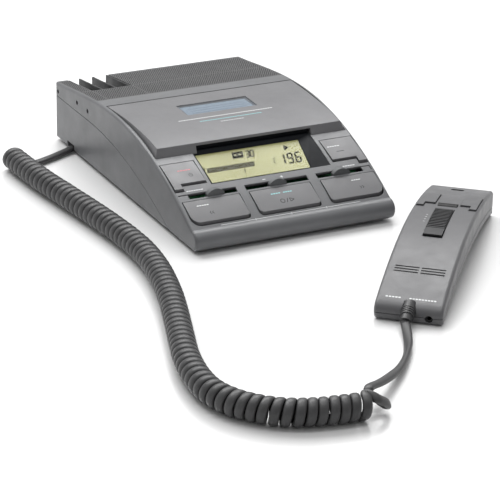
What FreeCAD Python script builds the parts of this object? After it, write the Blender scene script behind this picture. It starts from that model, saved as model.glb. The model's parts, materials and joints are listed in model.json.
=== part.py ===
"""Desktop dictation machine with a lidded cassette deck and a hand microphone on a curly cord.

Millimetres. The origin is on the desk, under the middle of the base unit. +X is to the user's right,
+Y towards the back of the base unit and +Z up. The microphone lies on the desk in front of it.
"""
import FreeCAD
import Part
import math
import os

V = FreeCAD.Vector

# ---- driving dimensions: base unit ----
HALF_WIDTH = 75.0
FRONT = -119.5
REAR = 120.0
FOOT = 2.0
WALL = 2.8
FLOOR = 2.5
NOSE_TOP = -116.0
NOSE_BULGE = -123.5
SIDE_ROUND = 2.0
SEAM = 0.22
CROWN = (53.54, 7.34, -19.64, 4.02, 1.73)
INNER_HALF = 71.6
INNER_FRONT = -119.2
INNER_REAR = REAR - WALL
INNER_FLOOR = FOOT + FLOOR

# ---- driving dimensions: lid, display and deck ----
LID_HALF = 72.0
LID_FRONT_LOW = -52.4
LID_FRONT_TOP = -49.7
LID_RISE = 4.95
HINGE_Y = 30.0
HINGE_Z = 52.6
BARREL = 1.5
PIN = 0.7
RUNNING = 0.05
DECK_TOP = 36.5
DECK_THICK = 1.5
DISPLAY_REAR = (-52.6, 42.1)
DISPLAY_FRONT = (-82.3, 32.6)
DISPLAY_GLASS = 0.6
DISPLAY_LEFT = -44.0
DISPLAY_RIGHT = (30.0, 35.0)

# ---- driving dimensions: keys and sliders ----
KEY_REAR = -94.5
KEY_FRONT = -112.4
KEY_LIFT = 1.4
KEY_THICK = 3.5
KEY_GAP = 0.55
KEY_FRONT_GAP = 1.3
SIDE_KEY_LIFT = 1.2
SIDE_KEY_REAR = -60.0
SIDE_KEY_FRONT = -80.3
SIDE_KEY_TAB = -84.8
SLOT_Y = -90.6
SLOT_WIDTH = 4.2
SLOTS = ((-65.5, -30.0, -46.0), (-23.5, 23.6, 0.5), (30.5, 65.7, 49.0))
FRONT_KEYS = {"rewind_key": (-71.6, -30.0, 6.0, 2.0),
              "play_key": (-22.3, 23.0, 3.0, 2.0),
              "wind_key": (31.4, 72.4, 2.5, 6.0)}
SLOT_PLATE = 1.1
SIDE_HOLE = 1.7


# ---- driving dimensions: cassette deck ----
CASSETTE = (50.0, 33.0, 8.0)
CASSETTE_MIDDLE = (-1.0, 2.0)
CASSETTE_FLOOR = 37.0
SPINDLE_Y = 4.0
SUPPLY_X = -12.0
TAKEUP_X = 10.0
CAPSTAN = (20.0, -11.0)
MOTOR = (46.0, -14.0)
FLYWHEEL = 14.0
PULLEY = 4.0
HUB = 5.0
TAKEUP_DISC = 6.0
IDLER_LEVEL = (31.2, 33.2)
BELT_LEVEL = (12.4, 15.4)
PINCH_PIVOT = (34.0, -24.0)
PINCH_ROLLER = (20.0, -18.5)

# ---- driving dimensions: connector bay and plug pocket ----
BAY = (-64.3, -33.0, 76.7, 20.0)
BAY_WALL = 1.2
FINS = (-56.0, -45.6, -34.6)
FIN = 1.2
POCKET = (-66.0, -40.0, 84.0, 112.0, 16.0)

# ---- driving dimensions: hand microphone, in its own frame (front middle, +Y to its head) ----
MIC_HALF = 21.9
MIC_LENGTH = 196.0
MIC_WALL = 1.8
MIC_PEAK = (108.0, 28.5)
MIC_BEND_CORD = 0.0016
MIC_BEND_HEAD = 0.0014
MIC_ARCH = (101.0, 10.6, 95.0)
MIC_SEAM = 6.0
MIC_ROUND = 2.2
MIC_KEY_LIFT = 0.8
JACK = (13.0, 4.4)
MIC_AT = V(-2.0, -274.2, 0.0)
MIC_TURN = -40.5
SWITCH_SLOT = (-6.6, 6.4, 80.0, 129.0)
SWITCH_KNOB = (-6.2, 6.0, 86.0, 127.6)

# ---- driving dimensions: cord ----
CORD = 4.8
COIL = 17.0
COIL_ROUTE = [V(-126, 75, 8.6), V(-125, 38, 8.6), V(-117, -25, 8.6), V(-110.5, -85, 8.6),
              V(-110.5, -132, 8.6), V(-122, -185, 8.6), V(-140, -238, 8.6), V(-157.5, -288, 8.6),
              V(-161, -333, 8.6), V(-138, -364, 8.6), V(-108, -375, 8.6), V(-80, -377, 8.6)]
BASE_TAIL_ROUTE = [V(-57.8, 95.8, 5.0), V(-66, 94.0, 3.4), V(-84, 85.2, 2.7), V(-106, 75.0, 2.7),
                   V(-121, 68.5, 5.5)]
MIC_TAIL_ROUTE = [V(-80, -377, 8.6), V(-65, -369, 7.2), V(-52, -351, 4.2), V(-38, -331, 2.7),
                  V(-24, -310, 2.7), V(-13.7, -291.5, 3.0), V(-6.4, -279.5, 4.8)]


# ---- shape helpers ----
def box(x0, x1, y0, y1, z0, z1):
    """A block between opposite corners."""
    return Part.makeBox(x1 - x0, y1 - y0, z1 - z0, V(x0, y0, z0))


def rod(x, y, z0, z1, radius):
    """An upright cylinder."""
    return Part.makeCylinder(radius, z1 - z0, V(x, y, z0))


def bar(x0, x1, y, z, radius):
    """A cylinder along X."""
    return Part.makeCylinder(radius, x1 - x0, V(x0, y, z), V(1, 0, 0))


def fuse(shapes):
    """One solid from touching or overlapping shapes."""
    return shapes[0].multiFuse(shapes[1:]).removeSplitter()


def lifted(height, amount):
    """A height line moved up by an amount."""
    return lambda y: height(y) + amount


def height_edge(height, y0, y1, x):
    """The edge that a height line makes in the plane at x; a plain number is a level line."""
    if not callable(height):
        return Part.makeLine(V(x, y0, height), V(x, y1, height))
    count = max(4, int(abs(y1 - y0) / 20) + 3)
    steps = [y0 + (y1 - y0) * i / (count - 1) for i in range(count)]
    curve = Part.BSplineCurve()
    curve.interpolate([V(x, y, height(y)) for y in steps])
    return curve.toShape()


def strip(x0, x1, y0, y1, upper, lower):
    """The solid between two height lines, from y0 to y1, extruded from x0 to x1."""
    top = height_edge(upper, y0, y1, x0)
    base = height_edge(lower, y0, y1, x0)
    front = Part.makeLine(base.Vertexes[0].Point, top.Vertexes[0].Point)
    back = Part.makeLine(top.Vertexes[-1].Point, base.Vertexes[-1].Point)
    wire = Part.Wire(Part.__sortEdges__([front, top, back, base]))
    return Part.Face(wire).extrude(V(x1 - x0, 0, 0))


def rounded_plan(x0, x1, y0, y1, z0, z1, front_left, front_right, rear=0.6):
    """An upright block whose corners are rounded in plan."""
    radii = [(x0, y0, front_left), (x1, y0, front_right), (x1, y1, rear), (x0, y1, rear)]
    block = box(x0, x1, y0, y1, z0, z1)
    for x, y, radius in radii:
        edges = [e for e in block.Edges if at_corner(e, x, y)]
        block = block.makeFillet(radius, edges)
    return block


def at_corner(edge, x, y):
    """Whether an edge is the upright one at this corner."""
    bound = edge.BoundBox
    level = abs(bound.XMin - x) + abs(bound.XMax - x) + abs(bound.YMin - y) + abs(bound.YMax - y)
    return level < 1e-6 and bound.ZLength > 0.1


def side_edges(shape, half, tolerance=1e-4):
    """The edges that lie in the two side planes of a shape."""
    found = []
    for edge in shape.Edges:
        bound = edge.BoundBox
        flat = bound.XLength < tolerance
        if flat and abs(abs(bound.XMin) - half) < tolerance:
            found.append(edge)
    return found


def beyond(point, normal, size=400.0):
    """A large block on the far side of a plane, for trimming."""
    turn = FreeCAD.Rotation(V(0, 0, 1), normal)
    block = Part.makeBox(size, size, size, V(-size / 2, -size / 2, 0))
    block.Placement = FreeCAD.Placement(point, turn)
    return block


def save(name, shape):
    """Write one sub-part, after checking its solids."""
    broken = [s for s in shape.Solids if not s.isValid() or s.Volume <= 0]
    if broken or not shape.Solids:
        raise ValueError("bad solid in " + name)
    shape.exportStep("parts/" + name + ".step")


# ---- base unit: heights ----
def crown(y):
    """Height of the base unit's top surface: a long hump that falls to the front."""
    t = y / 100.0
    return sum(factor * t ** power for power, factor in enumerate(CROWN))


def parting(y):
    """Height of the seam between the lower and the upper housing."""
    if y > 58.0:
        return 34.8
    return 34.8 - 0.00168 * (58.0 - y) ** 2


def lid_top(y):
    """Height of the lid's outside, which stands proud of the crown towards the front."""
    share = (HINGE_Y - y) / (HINGE_Y - LID_FRONT_TOP)
    return crown(y) + LID_RISE * share * share


def display_level(y):
    """Height of the display window's face."""
    (rear_y, rear_z), (front_y, front_z) = DISPLAY_REAR, DISPLAY_FRONT
    return front_z + (rear_z - front_z) * (y - front_y) / (rear_y - front_y)


def key_board_level(y):
    """Height of the sloping board under the keys."""
    return 6.8 + 0.455 * (y + 113.0)


# ---- base unit: housings ----
def envelope():
    """The outside of the base unit, rounded at the nose and along its sides."""
    top = height_edge(crown, NOSE_TOP, REAR, -HALF_WIDTH)
    nose_start = V(-HALF_WIDTH, FRONT, FOOT)
    nose_end = V(-HALF_WIDTH, NOSE_TOP, crown(NOSE_TOP))
    nose = Part.Arc(nose_start, V(-HALF_WIDTH, NOSE_BULGE, 9.0), nose_end).toShape()
    rear_foot = V(-HALF_WIDTH, REAR, FOOT)
    rear = Part.makeLine(top.Vertexes[-1].Point, rear_foot)
    under = Part.makeLine(rear_foot, nose_start)
    wire = Part.Wire(Part.__sortEdges__([nose, top, rear, under]))
    body = Part.Face(wire).extrude(V(2 * HALF_WIDTH, 0, 0))
    return body.makeFillet(SIDE_ROUND, side_edges(body, HALF_WIDTH))


def hollow():
    """The base unit's shell before it is parted into two housings."""
    inside = strip(-INNER_HALF, INNER_HALF, INNER_FRONT, INNER_REAR, lifted(crown, -WALL), INNER_FLOOR)
    return envelope().cut(inside)


def lower_zone(gap):
    """The space below the seam, moved by a gap, with the floor plate's space."""
    below = strip(-80, 80, -88.6, REAR + 5, lifted(parting, gap), -1.0)
    plate = box(-INNER_HALF - gap, INNER_HALF + gap, -112.0 - gap, REAR - 6, -1.0, INNER_FLOOR + gap)
    return below.fuse(plate)


def housing_posts():
    """The four places where the housings are screwed together."""
    return ((-68.1, -40.0), (68.1, -40.0), (66.0, 106.0), (-25.0, 108.0))


def lower_housing(shell):
    """Lower housing: floor, low side walls, screw posts, deck posts and the plug pocket."""
    body = shell.common(lower_zone(-SEAM))
    x0, x1, y0, y1, ceiling = POCKET
    pieces = [body, box(x0 - 2, x1 + 2, y0 - 2, y1 + 2, FOOT + 0.5, ceiling + 1.5)]
    pieces.append(box(-INNER_HALF - 0.5, x0, y0, y0 + 15.5, FOOT + 0.5, 8.4))
    pieces += [rod(x, y, FOOT + 0.5, 13.9, 3.2) for x, y in housing_posts()]
    pieces += [rod(x, y, FOOT + 0.5, DECK_TOP - DECK_THICK, 3.0) for x, y in deck_posts()]
    pieces.append(rod(CAPSTAN[0], CAPSTAN[1], FOOT + 0.5, 8.9, 3.0))
    body = fuse(pieces)
    cuts = [box(x0, x1, y0, y1, -1, ceiling), cord_channel(), bay_space()]
    cuts += [rod(x, y, -1, 4.2, 3.0) for x, y in housing_posts()]
    cuts += [rod(x, y, -1, 15, 1.5) for x, y in housing_posts()]
    cuts += [rod(x, y, FOOT - 1, FOOT + 0.6, r) for x, y, r in feet_places()]
    return body.cut(Part.makeCompound(cuts))


def deck_posts():
    """The posts that carry the deck plate."""
    return ((-60.0, -36.0), (62.0, -36.0), (-60.0, 20.0), (60.0, 20.0))


def cord_channel():
    """The way out of the plug pocket for the cord, through the left side wall."""
    return box(-HALF_WIDTH - 1, POCKET[0] + 1, 85.5, 98.0, -1, 6.6)


def bay_space():
    """The cut-out that the connector bay fills, open to the back and the top."""
    x0, x1, y0, floor = BAY
    return box(x0 - BAY_WALL - 0.1, x1, y0 - BAY_WALL - 0.1, REAR + 2, floor - BAY_WALL - 0.1, 60)


def upper_housing(shell):
    """Upper housing: crown, rails beside the lid, key deck, nose and hinge gutter."""
    body = shell.cut(lower_zone(SEAM))
    gutter = box(-INNER_HALF - 0.3, INNER_HALF + 0.3, 26.2, 34.0, 47.5, 51.6)
    posts = [post_below_crown(x, y) for x, y in housing_posts()]
    body = fuse([body, gutter] + posts)
    for cut in lid_cuts() + deck_cuts() + rear_cuts():
        body = body.cut(cut)
    return body


def post_below_crown(x, y):
    """One screw post that hangs from the crown, with its pilot hole."""
    top = crown(y) - WALL + 0.6
    return rod(x, y, 14.1, top, 3.2).cut(rod(x, y, 14, 26, 1.35))


def lid_cuts():
    """Room for the lid, its hinge barrel and pins, and the cassette well."""
    recess = strip(-LID_HALF - 0.6, LID_HALF + 0.6, -53.1, 31.7, 70.0, lifted(crown, -1.25))
    well = box(-65.6, 65.6, -44.5, 26.0, 30, 70)
    barrel = bar(-LID_HALF - 0.6, LID_HALF + 0.6, HINGE_Y, HINGE_Z, BARREL + 0.3)
    pins = [bar(x - 3, x + 3, HINGE_Y, HINGE_Z, PIN) for x in (-71.0, 71.0)]
    return [recess, well, barrel] + pins


def deck_cuts():
    """Openings for the display, the keys and the sliders."""
    cuts = [box(-45.2, 45.0, -83.4, -50.4, 26, 70)]
    cuts += [front_key_opening(*FRONT_KEYS[name]) for name in sorted(FRONT_KEYS)]
    cuts += [side_key_opening(-1), side_key_opening(1)]
    for x0, x1, _ in SLOTS:
        cuts.append(box(x0, x1, SLOT_Y - SLOT_WIDTH / 2, SLOT_Y + SLOT_WIDTH / 2, 20, 40))
        cuts.append(strip(x0 - 1.2, x1 + 1.2, SLOT_Y - 2.6, SLOT_Y + 3.2, lifted(crown, -SLOT_PLATE), 20.0))
    for x0, x1 in ((-72.4, -65.0), (65.2, 72.4)):
        cuts.append(strip(x0, x1, -89.4, -88.6, 40.0, lifted(crown, -0.7)))
    cuts.append(strip(71.6, 72.4, -92.6, -88.6, 40.0, lifted(crown, -0.7)))
    return cuts


def rear_cuts():
    """The grille's seat, the sound slots under it, the connector bay and the side sockets."""
    seat = strip(-73.2, 73.2, 45.8, 118.4, 70.0, lifted(crown, -1.3))
    slots = [box(2, 48, 62 + 8 * i, 65 + 8 * i, 40, 70) for i in range(6)]
    holes = [bar(-76, -71, y, z, SIDE_HOLE) for y, z in ((115.0, 38.7), (79.0, 41.6), (59.5, 41.6))]
    return [seat] + slots + [bay_space()] + holes


def rear_grille():
    """The perforated panel over the back of the unit, cut out around the connector bay."""
    panel = strip(-73.0, 73.0, 46.0, 118.2, lifted(crown, -0.05), lifted(crown, -1.28))
    x0, x1, y0, _ = BAY
    return panel.cut(box(x0, x1, y0 - 0.1, REAR + 2, 30, 60))


def connector_bay():
    """The moulded insert of three connector bays, with a thin fin between them."""
    x0, x1, y0, floor = BAY
    back = REAR - 0.3
    right = FINS[-1] + FIN / 2
    body = strip(x0 - BAY_WALL, right, y0 - BAY_WALL, back, lifted(crown, -1.4), floor - BAY_WALL)
    body = body.cut(box(x0, right + 1, y0, REAR + 2, floor, 70))
    fins = [strip(x - FIN / 2, x + FIN / 2, y0, back, lifted(crown, -0.1), floor - 0.5) for x in FINS]
    body = fuse([body] + fins)
    for x in bay_middles():
        body = body.cut(Part.makeCylinder(2.6, 4, V(x, y0 - 2, 29), V(0, 1, 0)))
    return body


def bay_middles():
    """The middle of each connector bay, across the unit."""
    return (-60.4, -50.8, -40.1)


def accessory_sockets():
    """Three jack sockets behind the bays' front wall, for foot control, headset and loudspeaker."""
    sockets = []
    y0 = BAY[2]
    for x in bay_middles():
        body = box(x - 3.4, x + 3.4, y0 - 14, y0 - BAY_WALL - 0.15, 25, 33)
        collar = Part.makeCylinder(2.5, 3.2, V(x, y0 - 2.0, 29), V(0, 1, 0))
        bore = Part.makeCylinder(1.8, 14, V(x, y0 - 10, 29), V(0, 1, 0))
        sockets.append(body.fuse(collar).cut(bore))
    return Part.makeCompound(sockets)


# ---- base unit: lid ----
def cassette_lid():
    """The lid: a shallow tray with a deep front lip, cut out over the display."""
    body = strip(-LID_HALF, LID_HALF, LID_FRONT_LOW, HINGE_Y, lid_top, lifted(crown, -1.0))
    body = body.fuse(bar(-LID_HALF, LID_HALF, HINGE_Y, HINGE_Z, BARREL))
    body = body.cut(lid_front_trim()).cut(lid_side_trim(1)).cut(lid_side_trim(-1))
    inside = strip(-69.4, 69.4, -48.4, 26.5, lifted(lid_top, -2.0), 30.0)
    lip = strip(-41.5, 46.0, -54.0, -47.0, lifted(lid_top, -1.7), 30.0)
    pane = strip(-28.0, 26.0, -8.0, 11.5, 60.0, lifted(lid_top, -1.0))
    view = box(-26.5, 24.5, -6.5, 10.0, 45, 60)
    cuts = [inside, lip, pane, view]
    cuts += [bar(x - 3.2, x + 3.2, HINGE_Y, HINGE_Z, PIN + RUNNING) for x in (-71.0, 71.0)]
    for cut in cuts:
        body = body.cut(cut)
    return body


def lid_front_trim():
    """What the sloping front lip leaves off the lid."""
    low = V(0, LID_FRONT_LOW, crown(LID_FRONT_LOW) - 1.0)
    top = V(0, LID_FRONT_TOP, lid_top(LID_FRONT_TOP))
    along = top - low
    return beyond(low, V(0, -along.z, along.y))


def lid_side_trim(side):
    """What the leaning side of the lid leaves off: the top edge draws in towards the front."""
    rear = V(side * LID_HALF, HINGE_Y, lid_top(HINGE_Y))
    low = V(side * LID_HALF, LID_FRONT_LOW, crown(LID_FRONT_LOW) - 1.0)
    top = V(side * (LID_HALF - 2.0), LID_FRONT_TOP, lid_top(LID_FRONT_TOP))
    normal = (low - rear).cross(top - rear)
    if normal.x * side < 0:
        normal = normal * -1
    return beyond(rear, normal)


def lid_window():
    """The clear pane over the cassette's label."""
    return strip(-27.9, 25.9, -7.9, 11.4, lifted(lid_top, -0.1), lifted(lid_top, -1.0))


def lid_hinge_pins():
    """Two steel pins, held in the side rails."""
    return Part.makeCompound([bar(x - 3, x + 3, HINGE_Y, HINGE_Z, PIN) for x in (-71.0, 71.0)])


def lid_catch():
    """The sprung hook behind the lid's front lip, on the well's front edge."""
    foot = box(56, 62, -44.4, -39.0, DECK_TOP + 0.05, 37.6)
    stem = box(56, 62, -44.4, -43.2, 37.5, 46.1)
    hook = box(56, 62, -45.4, -43.2, 46.0, 47.0)
    return fuse([foot, stem, hook])


# ---- base unit: display ----
def display_frame():
    """The deep dark frame of the display, with a hood under the lid's lip and a sloping right wall."""
    body = strip(-45.0, 44.8, -83.2, -50.6, lifted(crown, -0.15), lifted(display_level, -DISPLAY_GLASS))
    hood = box(-41.0, 44.8, -47.9, -46.5, 44.45, 46.6)
    brow = strip(-41.0, 44.8, -51.5, -46.5, lifted(crown, -0.6), lifted(crown, -1.2))
    front_right, rear_right = DISPLAY_RIGHT
    low = display_rim(0.0, -DISPLAY_GLASS - 0.05)
    high = rim(DISPLAY_LEFT - 0.6, front_right + 1.0, rear_right + 10.0,
               DISPLAY_FRONT[0] - 0.6, DISPLAY_REAR[0] + 2.0, 2.0)
    pocket = Part.makeLoft([low, high], True, True)
    lip = strip(-46.0, -41.2, -52.9, -50.0, lifted(crown, 1.0), lifted(crown, -1.3))
    body = fuse([body, hood, brow])
    for cut in (pocket, lip):
        body = body.cut(cut)
    return body


def rim(x0, front_x1, rear_x1, y0, y1, lift):
    """A closed four-sided outline on the display's sloping plane."""
    corners = [V(x0, y0, display_level(y0) + lift), V(front_x1, y0, display_level(y0) + lift),
               V(rear_x1, y1, display_level(y1) + lift), V(x0, y1, display_level(y1) + lift)]
    return Part.makePolygon(corners + corners[:1])


def display_rim(grow, lift):
    """The display's own outline, made larger by grow."""
    front_right, rear_right = DISPLAY_RIGHT
    return rim(DISPLAY_LEFT - grow, front_right + grow, rear_right + grow,
               DISPLAY_FRONT[0] - grow, DISPLAY_REAR[0] + grow, lift)


def display_plate(grow, top, bottom):
    """A plate of the display's outline between two levels."""
    return Part.makeLoft([display_rim(grow, bottom), display_rim(grow, top)], True, True)


def display_window():
    """The clear pane over the display."""
    return display_plate(-0.1, -0.05, -DISPLAY_GLASS)


def display_panel():
    """The liquid crystal cell under the pane."""
    return display_plate(0.4, -DISPLAY_GLASS - 0.05, -2.6)


# ---- base unit: keys, sliders and their electronics ----
def front_key_opening(x0, x1, left_round, right_round):
    """The opening around a front key, wider at its front."""
    return rounded_plan(x0 - KEY_GAP, x1 + KEY_GAP, KEY_FRONT - KEY_FRONT_GAP, KEY_REAR + 0.3, 4.6, 40,
                        left_round + 0.5, right_round + 0.5)


def front_key(x0, x1, left_round, right_round):
    """A wide front key, flush at its rear edge and proud at its front."""
    def face(y):
        return crown(y) + KEY_LIFT * (KEY_REAR - y) / (KEY_REAR - KEY_FRONT)
    plan = rounded_plan(x0, x1, KEY_FRONT, KEY_REAR, 4, 45, left_round, right_round)
    slab = strip(x0 - 1, x1 + 1, KEY_FRONT - 1, KEY_REAR + 1, face, lifted(face, -KEY_THICK))
    return plan.common(slab)


def side_key_plan(side, grow, front_grow, z0, z1):
    """Plan of the key beside the display: a square with a tab at its outer front corner."""
    inner, outer = 48.2 - grow, 72.6 + grow
    tab = 66.6 - grow
    spans = [(inner, outer, SIDE_KEY_FRONT - front_grow), (tab, outer, SIDE_KEY_TAB - front_grow)]
    blocks = []
    for near, far, front in spans:
        x0, x1 = sorted((side * near, side * far))
        blocks.append(box(x0, x1, front, SIDE_KEY_REAR + grow * 0.6, z0, z1))
    return blocks[0].fuse(blocks[1]).removeSplitter()


def side_key_opening(side):
    """The opening around a key beside the display."""
    return side_key_plan(side, KEY_GAP, KEY_FRONT_GAP, 25, 55)


def side_key(side):
    """A key beside the display, flush at its rear edge and proud at its front."""
    def face(y):
        return crown(y) + SIDE_KEY_LIFT * (SIDE_KEY_REAR - y) / (SIDE_KEY_REAR - SIDE_KEY_TAB)
    slab = strip(-80, 80, SIDE_KEY_TAB - 1, SIDE_KEY_REAR + 1, face, lifted(face, -KEY_THICK))
    return side_key_plan(side, 0, 0, 20, 60).common(slab)


def slider_knob(middle):
    """A slider knob: a flat half-oval cap on a thin blade that reaches the potentiometer."""
    surface = crown(SLOT_Y)
    half = SLOT_WIDTH / 2 - 0.3
    arch = Part.Arc(V(middle - 6.4, SLOT_Y - half, surface), V(middle, SLOT_Y - half, surface + 3.3),
                    V(middle + 6.4, SLOT_Y - half, surface))
    sides = Part.makePolygon([V(middle + 6.4, SLOT_Y - half, surface),
                              V(middle + 6.4, SLOT_Y - half, surface - 2.4),
                              V(middle - 6.4, SLOT_Y - half, surface - 2.4),
                              V(middle - 6.4, SLOT_Y - half, surface)])
    cap = Part.Face(Part.Wire([arch.toShape()] + sides.Edges)).extrude(V(0, 2 * half, 0))
    blade = box(middle - 2, middle + 2, SLOT_Y - 0.5, SLOT_Y + 0.5, surface - 9.0, surface - 2.0)
    return fuse([cap, blade])


def slide_potentiometers():
    """Three slide potentiometers under the slots."""
    surface = crown(SLOT_Y)
    group = []
    for x0, x1, _ in SLOTS:
        body = strip(x0 - 2, x1 + 2, SLOT_Y - 4, SLOT_Y + 4, surface - 6.0, key_board_level)
        group.append(body.cut(box(x0 + 1, x1 - 1, SLOT_Y - 0.8, SLOT_Y + 0.8, surface - 10, surface)))
    return Part.makeCompound(group)


def key_places():
    """The middle of each key, where its switch sits."""
    places = [((x0 + x1) / 2, -103.5) for x0, x1, _, _ in FRONT_KEYS.values()]
    return places + [(-60.4, -71.0), (60.4, -71.0)]


def key_switches():
    """Five push switches on the sloping board, one under each key."""
    group = []
    for x, y in key_places():
        top = crown(y) - KEY_THICK - 2.1
        group.append(strip(x - 3, x + 3, y - 3, y + 3, top, key_board_level))
    return Part.makeCompound(group)


def key_board():
    """The sloping circuit board under the keys, the sliders and the display."""
    return strip(-68, 68, -112.5, -56, key_board_level, lifted(key_board_level, -1.6))


def main_board():
    """The main circuit board behind the deck, with its larger components."""
    board = box(-26, 60, 38, 102, 9.0, 10.6)
    chips = [box(x, x + 16, y, y + 8, 10.5, 12.6) for x, y in ((-18, 48), (6, 48), (30, 48), (-18, 66))]
    cans = [rod(x, y, 10.5, 19, 4.0) for x, y in ((48, 62), (48, 74), (-14, 84))]
    stand = [rod(x, y, 4.5, 9.2, 2.5) for x, y in ((-20, 44), (54, 44), (-20, 96), (54, 96))]
    return fuse([board] + chips + cans + stand)


def loudspeaker():
    """The loudspeaker under the grille: flange, cone and magnet."""
    x, y = 25.0, 84.0
    flange = rod(x, y, 40.0, 41.6, 25.5)
    cone = Part.makeCone(13.0, 24.0, 12.0, V(x, y, 28.2))
    dish = Part.makeCone(8.0, 22.0, 12.0, V(x, y, 30.7))
    magnet = rod(x, y, 20.2, 28.7, 13.0)
    return fuse([flange, cone, magnet]).cut(dish)


# ---- base unit: cassette deck ----
def deck_plate():
    """The steel plate that carries the tape drive."""
    plate = box(-64.6, 64.6, -43, 26, DECK_TOP - DECK_THICK, DECK_TOP)
    pivot = rod(PINCH_PIVOT[0], PINCH_PIVOT[1], DECK_TOP - 0.5, 40.0, 1.2)
    body = fuse([plate, pivot])
    holes = [rod(SUPPLY_X, SPINDLE_Y, 30, 40, 1.45), rod(TAKEUP_X, SPINDLE_Y, 30, 40, 1.45),
             rod(CAPSTAN[0], CAPSTAN[1], 30, 40, 1.05), rod(*idler_middle(), 30, 40, 0.85),
             rod(MOTOR[0], MOTOR[1], 30, 40, 3.0)]
    holes += [rod(x, y, 30, 40, 1.2) for x, y in deck_posts()]
    return body.cut(Part.makeCompound(holes))


def spindle(x, disc):
    """A reel spindle: shaft, drive collar and the disc below the deck."""
    shaft = rod(x, SPINDLE_Y, IDLER_LEVEL[0], 44.0, 1.4)
    collar = rod(x, SPINDLE_Y, DECK_TOP + 0.3, 42.5, 2.6)
    dogs = [box(x - 3.0, x + 3.0, SPINDLE_Y - 0.4, SPINDLE_Y + 0.4, 38.0, 42.0)]
    wheel = rod(x, SPINDLE_Y, IDLER_LEVEL[0], IDLER_LEVEL[1], disc)
    return fuse([shaft, collar, wheel] + dogs)


def capstan_flywheel():
    """The capstan shaft with its hub and its flywheel."""
    x, y = CAPSTAN
    shaft = rod(x, y, 9.0, 44.5, 1.0)
    hub = rod(x, y, IDLER_LEVEL[0], IDLER_LEVEL[1], HUB)
    wheel = rod(x, y, 11.6, 16.2, FLYWHEEL + 0.9)
    groove = rod(x, y, BELT_LEVEL[0], BELT_LEVEL[1], FLYWHEEL + 2).cut(rod(x, y, 11, 17, FLYWHEEL))
    mark = box(x + 4, x + 10, y - 1.5, y + 1.5, 15.6, 17)
    return fuse([shaft, hub, wheel]).cut(groove).cut(mark)


def idler_middle():
    """Centre of the idler: on the line from the capstan to the take-up spindle."""
    dx, dy = TAKEUP_X - CAPSTAN[0], SPINDLE_Y - CAPSTAN[1]
    span = math.hypot(dx, dy)
    reach = (HUB + span - TAKEUP_DISC) / 2.0
    return CAPSTAN[0] + dx * reach / span, CAPSTAN[1] + dy * reach / span


def idler_radius():
    """The idler fills the space between the hub and the take-up disc, less a hair."""
    span = math.hypot(TAKEUP_X - CAPSTAN[0], SPINDLE_Y - CAPSTAN[1])
    return (span - HUB - TAKEUP_DISC) / 2.0 - 0.03


def idler_wheel():
    """The rubber-tyred wheel that drives the take-up spindle."""
    x, y = idler_middle()
    disc = rod(x, y, IDLER_LEVEL[0] + 0.1, IDLER_LEVEL[1] - 0.1, idler_radius())
    return fuse([disc, rod(x, y, IDLER_LEVEL[0] + 0.1, 36.4, 0.8)])


def drive_motor():
    """The drive motor, hung under the deck plate."""
    can = rod(MOTOR[0], MOTOR[1], 17.2, DECK_TOP - DECK_THICK, 12.0)
    boss = rod(MOTOR[0], MOTOR[1], 16.6, 17.4, 3.5)
    nose = rod(MOTOR[0], MOTOR[1], DECK_TOP - 2, DECK_TOP, 2.9)
    return fuse([can, boss, nose]).cut(rod(MOTOR[0], MOTOR[1], 15, 26, 1.05))


def motor_pulley():
    """The grooved pulley on the motor's shaft."""
    x, y = MOTOR
    shaft = rod(x, y, 11.8, 25.0, 1.0)
    wheel = rod(x, y, 11.8, 16.2, PULLEY + 0.8)
    groove = rod(x, y, BELT_LEVEL[0], BELT_LEVEL[1], PULLEY + 2).cut(rod(x, y, 11, 17, PULLEY))
    flat = box(x + 2.5, x + 5, y - 1, y + 1, 11, 12.2)
    return fuse([shaft, wheel]).cut(groove).cut(flat)


def belt_outline(grow):
    """The stadium-like outline of a belt round the flywheel and the pulley."""
    first, second = V(CAPSTAN[0], CAPSTAN[1], 0), V(MOTOR[0], MOTOR[1], 0)
    big, small = FLYWHEEL + grow, PULLEY + grow
    along = second - first
    heading = math.atan2(along.y, along.x)
    lean = math.acos((big - small) / along.Length)
    points = []
    for centre, radius, angles in ((first, big, (lean, math.pi, 2 * math.pi - lean)),
                                   (second, small, (-lean, 0.0, lean))):
        for angle in angles:
            turn = heading + angle
            points.append(centre + V(radius * math.cos(turn), radius * math.sin(turn), 0))
    first_arc = Part.Arc(points[0], points[1], points[2]).toShape()
    second_arc = Part.Arc(points[3], points[4], points[5]).toShape()
    lines = [Part.makeLine(points[2], points[3]), Part.makeLine(points[5], points[0])]
    return Part.Wire([first_arc, lines[0], second_arc, lines[1]])


def drive_belt():
    """The square rubber belt between the motor pulley and the flywheel."""
    ring = Part.Face(belt_outline(1.1)).cut(Part.Face(belt_outline(0.08)))
    ring.translate(V(0, 0, BELT_LEVEL[0] + 0.9))
    return ring.extrude(V(0, 0, 1.2))


def pinch_arm():
    """The arm that presses the pinch roller to the capstan, with the roller's axle."""
    pivot, roller = PINCH_PIVOT, PINCH_ROLLER
    ends = [rod(pivot[0], pivot[1], 37.4, 38.8, 3.0), rod(roller[0], roller[1], 37.4, 38.8, 2.2)]
    length = math.hypot(roller[0] - pivot[0], roller[1] - pivot[1])
    web = box(0, length, -1.8, 1.8, 37.4, 38.8)
    web.rotate(V(0, 0, 0), V(0, 0, 1), math.degrees(math.atan2(roller[1] - pivot[1],
                                                               roller[0] - pivot[0])))
    web.translate(V(pivot[0], pivot[1], 0))
    axle = rod(roller[0], roller[1], 38.0, 43.8, 0.8)
    return fuse(ends + [web, axle]).cut(rod(pivot[0], pivot[1], 37, 40, 1.25))


def pinch_roller():
    """The rubber pinch roller."""
    x, y = PINCH_ROLLER
    return rod(x, y, 39.0, 43.4, 4.0).cut(rod(x, y, 38, 45, 0.85))


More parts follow.
